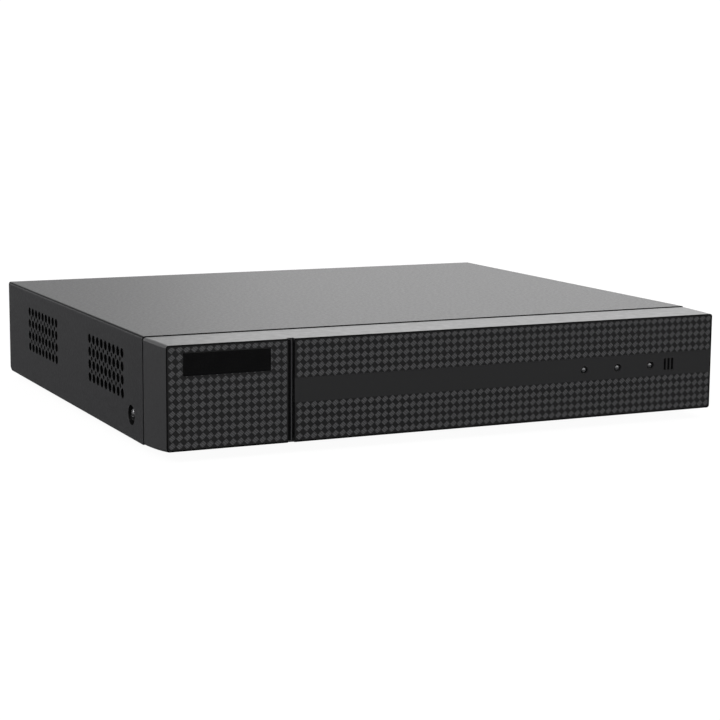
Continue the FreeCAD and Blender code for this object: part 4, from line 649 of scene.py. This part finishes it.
for column in range(int((SMALL_SPACE_X[1] - SMALL_SPACE_X[0]) / SMALL_STEP)):
    for row in range(int((SMALL_SPACE_Y[1] - SMALL_SPACE_Y[0]) / SMALL_STEP)):
        x = SMALL_SPACE_X[0] + column * SMALL_STEP + dice.uniform(-1, 1) * SMALL_JITTER
        y = SMALL_SPACE_Y[0] + row * SMALL_STEP
        if dice.random() < SMALL_MISSING:
            continue
        turned = dice.random() < SMALL_TURNED
        body_finish = 1 + int(dice.random() < SMALL_BLACK)
        reach = Vector((SMALL_WIDE, SMALL_LONG) if turned else (SMALL_LONG, SMALL_WIDE)) / 2
        add_slab(small_form, (x - reach.x, y - reach.y, board_top),
                 (x + reach.x, y + reach.y, board_top + SMALL_HIGH), SMALL_EDGE)
        shorter = reach - Vector((0, SMALL_END) if turned else (SMALL_END, 0))
        wider = shorter + Vector((SMALL_SKIN, 0) if turned else (0, SMALL_SKIN))
        add_slab(small_form, (x - wider.x, y - wider.y, board_top),
                 (x + wider.x, y + wider.y, board_top + SMALL_HIGH + SMALL_SKIN), 0.0, body_finish)
new_piece("small_parts", small_form, [solder_tin, ceramic_tan, moulding_compound], "chassis")

# Each can stands on a square black base and has a black segment printed on its top.
BASE_HALF, BASE_THICK, BASE_EDGE = 4.25 * MM, 1.1 * MM, 0.5 * MM
MARK_THICK, MARK_INSET, MARK_FROM, MARK_STEPS = 0.03 * MM, 0.6 * MM, 0.35, 8
mark_turns = [math.acos(MARK_FROM) * (2 * n / MARK_STEPS - 1) for n in range(MARK_STEPS + 1)]
can_form = bmesh.new()
for can_low, can_high in separate_boxes("capacitors"):
    can_middle, mark_radius = (can_low + can_high) / 2, (can_high.x - can_low.x) / 2 - MARK_INSET
    add_slab(can_form, (can_middle.x - BASE_HALF, can_middle.y - BASE_HALF, can_low.z),
             (can_middle.x + BASE_HALF, can_middle.y + BASE_HALF, can_low.z + BASE_THICK), BASE_EDGE)
    mark = bmesh.new()
    mark.faces.new([mark.verts.new((can_middle.x + mark_radius * math.cos(turn),
                                    can_middle.y + mark_radius * math.sin(turn),
                                    can_high.z + MARK_THICK)) for turn in mark_turns])
    add_form(can_form, mark)
new_piece("can_bases", can_form, black_nylon, "chassis")


# ---- Rear sockets ---------------------------------------------------------------------------
# Nickel bayonet sockets with a white insulator, tinned steel shells round black tongues, a blue
# D-shaped monitor socket, two audio sockets and the supply inlet, all soldered to the main board.
bright_nickel = principled("bright_nickel", (0.66, 0.63, 0.58), 0.18, metallic=1.0)
grain(bright_nickel, 0.9 * MM, 0.003 * MM)
uneven_gloss(bright_nickel, 3 * MM, 0.13, 0.26)
finish_nodes(bright_nickel, "video_socket_barrels", "video_socket_nuts", "audio_socket_shells", "power_pin",
             "drive_magnet_yoke")
white_insulator = principled("white_insulator", (0.78, 0.77, 0.73), 0.35)
grain(white_insulator, 0.5 * MM, 0.006 * MM)
finish_nodes(white_insulator, "video_socket_insulators")
gold_plate = principled("gold_plate", (0.83, 0.58, 0.22), 0.22, metallic=1.0)
grain(gold_plate, 0.5 * MM, 0.003 * MM)
finish_nodes(gold_plate, "video_socket_contacts")
red_insulator = principled("red_insulator", (0.55, 0.02, 0.015), 0.32)
grain(red_insulator, 0.5 * MM, 0.006 * MM)
finish_nodes(red_insulator, "audio_socket_insulators")
tinned_steel = principled("tinned_steel", (0.60, 0.60, 0.58), 0.28, metallic=1.0)
grain(tinned_steel, 0.6 * MM, 0.006 * MM, stretch=(0.15, 1.0, 1.0))
uneven_gloss(tinned_steel, 3 * MM, 0.22, 0.36)
finish_nodes(tinned_steel, "vga_shell", "hdmi_shell", "lan_shell", "usb_shell")
blue_insert = principled("blue_insert", (0.012, 0.045, 0.30), 0.38)
grain(blue_insert, 0.4 * MM, 0.008 * MM)
finish_nodes(blue_insert, "vga_insert")

# The network socket has eight gold wires in its mouth, and a green and an amber window above it.
window_green = principled("window_green", (0.10, 0.42, 0.12), 0.25)
grain(window_green, 0.4 * MM, 0.004 * MM)
window_amber = principled("window_amber", (0.62, 0.34, 0.05), 0.25)
grain(window_amber, 0.4 * MM, 0.004 * MM)
lan_low, lan_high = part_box("lan_insert")
WIRE_COUNT, WIRE_PITCH, WIRE_WIDE, WIRE_DEEP = 8, 1.02 * MM, 0.4 * MM, 9.0 * MM
WIRE_TOP, WIRE_DROP = 3.1 * MM, 0.9 * MM
WINDOW_WIDE, WINDOW_TALL, WINDOW_OUT = 3.0 * MM, 1.6 * MM, 0.08 * MM
WINDOW_INSET, WINDOW_EDGE, WIRE_END = 0.7 * MM, 0.03 * MM, 1.0 * MM
network_form = bmesh.new()
lan_middle, wire_z = (lan_low.x + lan_high.x) / 2, lan_high.z - WIRE_TOP - WIRE_DROP
for n in range(WIRE_COUNT):
    wire_x = lan_middle + (n - (WIRE_COUNT - 1) / 2) * WIRE_PITCH
    add_slab(network_form, (wire_x - WIRE_WIDE / 2, lan_high.y - WIRE_DEEP, wire_z),
             (wire_x + WIRE_WIDE / 2, lan_high.y - WIRE_END, wire_z + WIRE_WIDE))
window_places = (lan_low.x + WINDOW_INSET, lan_high.x - WINDOW_INSET - WINDOW_WIDE)
window_top = lan_high.z - WINDOW_INSET
for finish_index, window_x in enumerate(window_places, 1):
    add_slab(network_form, (window_x, lan_high.y - WINDOW_OUT, window_top - WINDOW_TALL),
             (window_x + WINDOW_WIDE, lan_high.y + WINDOW_OUT, window_top), WINDOW_EDGE, finish_index)
new_piece("network_details", network_form, [gold_plate, window_green, window_amber], "chassis")


# ---- Disk drive -----------------------------------------------------------------------------
# A sealed 3.5 inch drive: dark cast base, stamped steel lid, and inside it a spindle with two polished
# platters and a head arm that swings over them.  Four screws hold it from under the tray.
cast_dark = principled("cast_dark", (0.03, 0.03, 0.032), 0.5, metallic=0.4)
grain(cast_dark, 0.6 * MM, 0.03 * MM)
two_tones(cast_dark, 2 * MM, (0.024, 0.024, 0.026), (0.042, 0.042, 0.045))
finish_nodes(cast_dark, "drive_base")
lid_steel = principled("lid_steel", (0.55, 0.56, 0.57), 0.3, metallic=1.0)
grain(lid_steel, 0.5 * MM, 0.006 * MM, stretch=(0.05, 1.0, 1.0))
two_tones(lid_steel, 5 * MM, (0.50, 0.51, 0.52), (0.60, 0.61, 0.62))
finish_nodes(lid_steel, "drive_lid")
platter_polish = principled("platter_polish", (0.82, 0.83, 0.85), 0.04, metallic=1.0)
uneven_gloss(platter_polish, 20 * MM, 0.03, 0.06)
finish_nodes(platter_polish, "drive_platters")
machined_aluminium = principled("machined_aluminium", (0.66, 0.66, 0.68), 0.3, metallic=1.0)
grain(machined_aluminium, 0.4 * MM, 0.006 * MM)
finish_nodes(machined_aluminium, "drive_spindle", "drive_arm")

# A blank paper label covers the socket end of the lid, and six small screws hold the lid down.
label_paper = principled("label_paper", (0.74, 0.74, 0.72), 0.55)
two_tones(label_paper, 6 * MM, (0.70, 0.70, 0.68), (0.77, 0.77, 0.75))
grain(label_paper, 0.35 * MM, 0.004 * MM)
lid_low, lid_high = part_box("drive_lid")
PAPER_FAR, PAPER_NEAR, PAPER_INSET = 44 * MM, 9 * MM, 12 * MM
PAPER_THICK, PAPER_EDGE = 0.08 * MM, 0.02 * MM
LID_SCREW_INSET, LID_SCREW_RADIUS, LID_SCREW_DOWN = 4.1 * MM, 2.0 * MM, 0.15 * MM
LID_SCREW_TOP, LID_SCREW_SIDES = 0.85, 24
paper_form = bmesh.new()
add_slab(paper_form, (lid_high.x - PAPER_FAR, lid_low.y + PAPER_INSET, lid_high.z - PAPER_THICK / 4),
         (lid_high.x - PAPER_NEAR, lid_high.y - PAPER_INSET, lid_high.z + PAPER_THICK), PAPER_EDGE)
new_piece("drive_label", paper_form, label_paper, "chassis")
lid_screw_form = bmesh.new()
for x in (lid_low.x + LID_SCREW_INSET, (lid_low.x + lid_high.x) / 2, lid_high.x - LID_SCREW_INSET):
    for y in (lid_low.y + LID_SCREW_INSET, lid_high.y - LID_SCREW_INSET):
        disc = bmesh.new()
        bmesh.ops.create_cone(disc, cap_ends=True, segments=LID_SCREW_SIDES, radius1=LID_SCREW_RADIUS,
                              radius2=LID_SCREW_RADIUS * LID_SCREW_TOP, depth=2 * LID_SCREW_DOWN)
        bmesh.ops.translate(disc, vec=(x, y, lid_high.z - 2 * LID_SCREW_DOWN), verts=disc.verts)
        add_form(lid_screw_form, disc)
new_piece("lid_screws", lid_screw_form, zinc_plate, "chassis")


# ---- Fan ------------------------------------------------------------------------------------
# A 40 mm fan in black glass-filled plastic, held to the tray's bracket by four long screws.  A blank
# round label covers the middle of its wheel.
fan_plastic = principled("fan_plastic", (0.014, 0.014, 0.015), 0.45)
grain(fan_plastic, 0.35 * MM, 0.012 * MM)
two_tones(fan_plastic, 1.5 * MM, (0.011, 0.011, 0.012), (0.019, 0.019, 0.020))
finish_nodes(fan_plastic, "fan_frame", "fan_rotor")
rotor_low, rotor_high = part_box("fan_rotor")
HUB_LABEL_RADIUS, HUB_LABEL_THICK, HUB_LABEL_SIDES = 8.0 * MM, 0.08 * MM, 48
rotor_middle = (rotor_low + rotor_high) / 2
hub_form = bmesh.new()
bmesh.ops.create_cone(hub_form, cap_ends=True, segments=HUB_LABEL_SIDES, radius1=HUB_LABEL_RADIUS,
                      radius2=HUB_LABEL_RADIUS, depth=HUB_LABEL_THICK)
bmesh.ops.rotate(hub_form, matrix=Matrix.Rotation(math.pi / 2, 3, "Y"), verts=hub_form.verts)
bmesh.ops.translate(hub_form, vec=(rotor_high.x, rotor_middle.y, rotor_middle.z), verts=hub_form.verts)
new_piece("fan_hub_label", hub_form, label_film, "fan_wheel")


# ---- Leads ----------------------------------------------------------------------------------
# Short leads in soft jackets, each from the face of one plug to another.  The drive's data lead is
# red and the others are black.
red_jacket = principled("red_jacket", (0.42, 0.018, 0.015), 0.5)
grain(red_jacket, 0.6 * MM, 0.015 * MM)
finish_nodes(red_jacket, "drive_data_lead")
black_jacket = principled("black_jacket", (0.015, 0.015, 0.015), 0.5)
grain(black_jacket, 0.6 * MM, 0.015 * MM)
finish_nodes(black_jacket, "drive_power_lead", "fan_lead", "front_board_lead")


# ---- Cover ----------------------------------------------------------------------------------
# The U-shaped steel cover slides on from behind.  It has two punched vent patches in each side and
# a dimple for the side screw.  Painted shade darkens the coat wherever it lies deeper than the outer
# skin: inside, in the holes and the dimple, and along the folds.
cover_coat = powder_coat.copy()
cover_coat.name = "cover_coat"
cover_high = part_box("top_cover")[1]
SKIN = 0.1 * MM
cover_split = node(cover_coat, "ShaderNodeSeparateXYZ")
cover_across = node(cover_coat, "ShaderNodeMath", operation="ABSOLUTE")
join(cover_coat, surface_place(cover_coat), cover_split.inputs["Vector"])
join(cover_coat, cover_split.outputs["X"], cover_across.inputs[0])
# Painted shade: this mask is 1 where the coat lies deeper than the outer skin of the sides, top and back.
shade_below_skin = compared(cover_coat, cover_across.outputs["Value"], "LESS_THAN", cover_high.x - SKIN)
for place, outer in ((cover_split.outputs["Z"], cover_high.z), (cover_split.outputs["Y"], cover_high.y)):
    both = node(cover_coat, "ShaderNodeMath", operation="MULTIPLY")
    join(cover_coat, shade_below_skin, both.inputs[0])
    join(cover_coat, compared(cover_coat, place, "LESS_THAN", outer - SKIN), both.inputs[1])
    shade_below_skin = both.outputs["Value"]
paint_shade(cover_coat, shade_below_skin)
finish_nodes(cover_coat, "top_cover")

# The cover's screws are plated in black nickel.  The side screws have domed heads with a cross recess.
black_nickel = principled("black_nickel", (0.13, 0.13, 0.135), 0.18, metallic=1.0)
grain(black_nickel, 0.5 * MM, 0.004 * MM)
uneven_gloss(black_nickel, 1.5 * MM, 0.14, 0.24)
finish_nodes(black_nickel, "cover_side_screws", "cover_rear_screws")
HEAD_RADIUS, HEAD_TALL, SHANK_RADIUS = 3.2 * MM, 1.3 * MM, 1.5 * MM
CROSS_HALF, CROSS_REACH, CROSS_DEEP = 0.36 * MM, 1.75 * MM, 0.8 * MM
HEAD_RINGS, HEAD_SPOKES = 28, 72


def add_domed_screw(form, tip, end_x, side):
    """Adds a cross-headed screw along X: tip is the top of its dome, and its shank ends at end_x."""
    ball_radius = (HEAD_RADIUS ** 2 + HEAD_TALL ** 2) / (2 * HEAD_TALL)
    spokes = [2 * math.pi * m / HEAD_SPOKES for m in range(HEAD_SPOKES)]
    screw = bmesh.new()
    rings = []
    for n in range(1, HEAD_RINGS + 1):
        reach = HEAD_RADIUS * n / HEAD_RINGS
        rise = math.sqrt(ball_radius ** 2 - reach ** 2) - ball_radius
        ring = []
        for angle in spokes:
            across, up = reach * math.cos(angle), reach * math.sin(angle)
            narrow, wide = sorted((abs(across), abs(up)))
            sunk = CROSS_DEEP if narrow < CROSS_HALF and wide < CROSS_REACH else 0.0
            ring.append(screw.verts.new((tip.x + side * (rise - sunk), tip.y + across, tip.z + up)))
        rings.append(ring)
    rings.append([screw.verts.new((end_x, tip.y + SHANK_RADIUS * math.cos(angle),
                                   tip.z + SHANK_RADIUS * math.sin(angle))) for angle in spokes])
    for inner, outer in zip(rings, rings[1:]):
        for m in range(HEAD_SPOKES):
            beyond = (m + 1) % HEAD_SPOKES
            screw.faces.new((inner[m], inner[beyond], outer[beyond], outer[m]))
    screw.faces.new(rings[0])
    bmesh.ops.recalc_face_normals(screw, faces=screw.faces)
    for face in screw.faces:
        face.smooth = True
    add_form(form, screw)


head_form = bmesh.new()
for screw_low, screw_high in separate_boxes("cover_side_screws"):
    side = math.copysign(1, screw_low.x)
    screw_middle = (screw_low + screw_high) / 2
    end_x, tip_x = sorted((screw_low.x, screw_high.x), key=abs)
    add_domed_screw(head_form, Vector((tip_x, screw_middle.y, screw_middle.z)), end_x, side)
screw_heads = new_piece("side_screw_heads", head_form, black_nickel, "cover")
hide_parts("cover_side_screws")
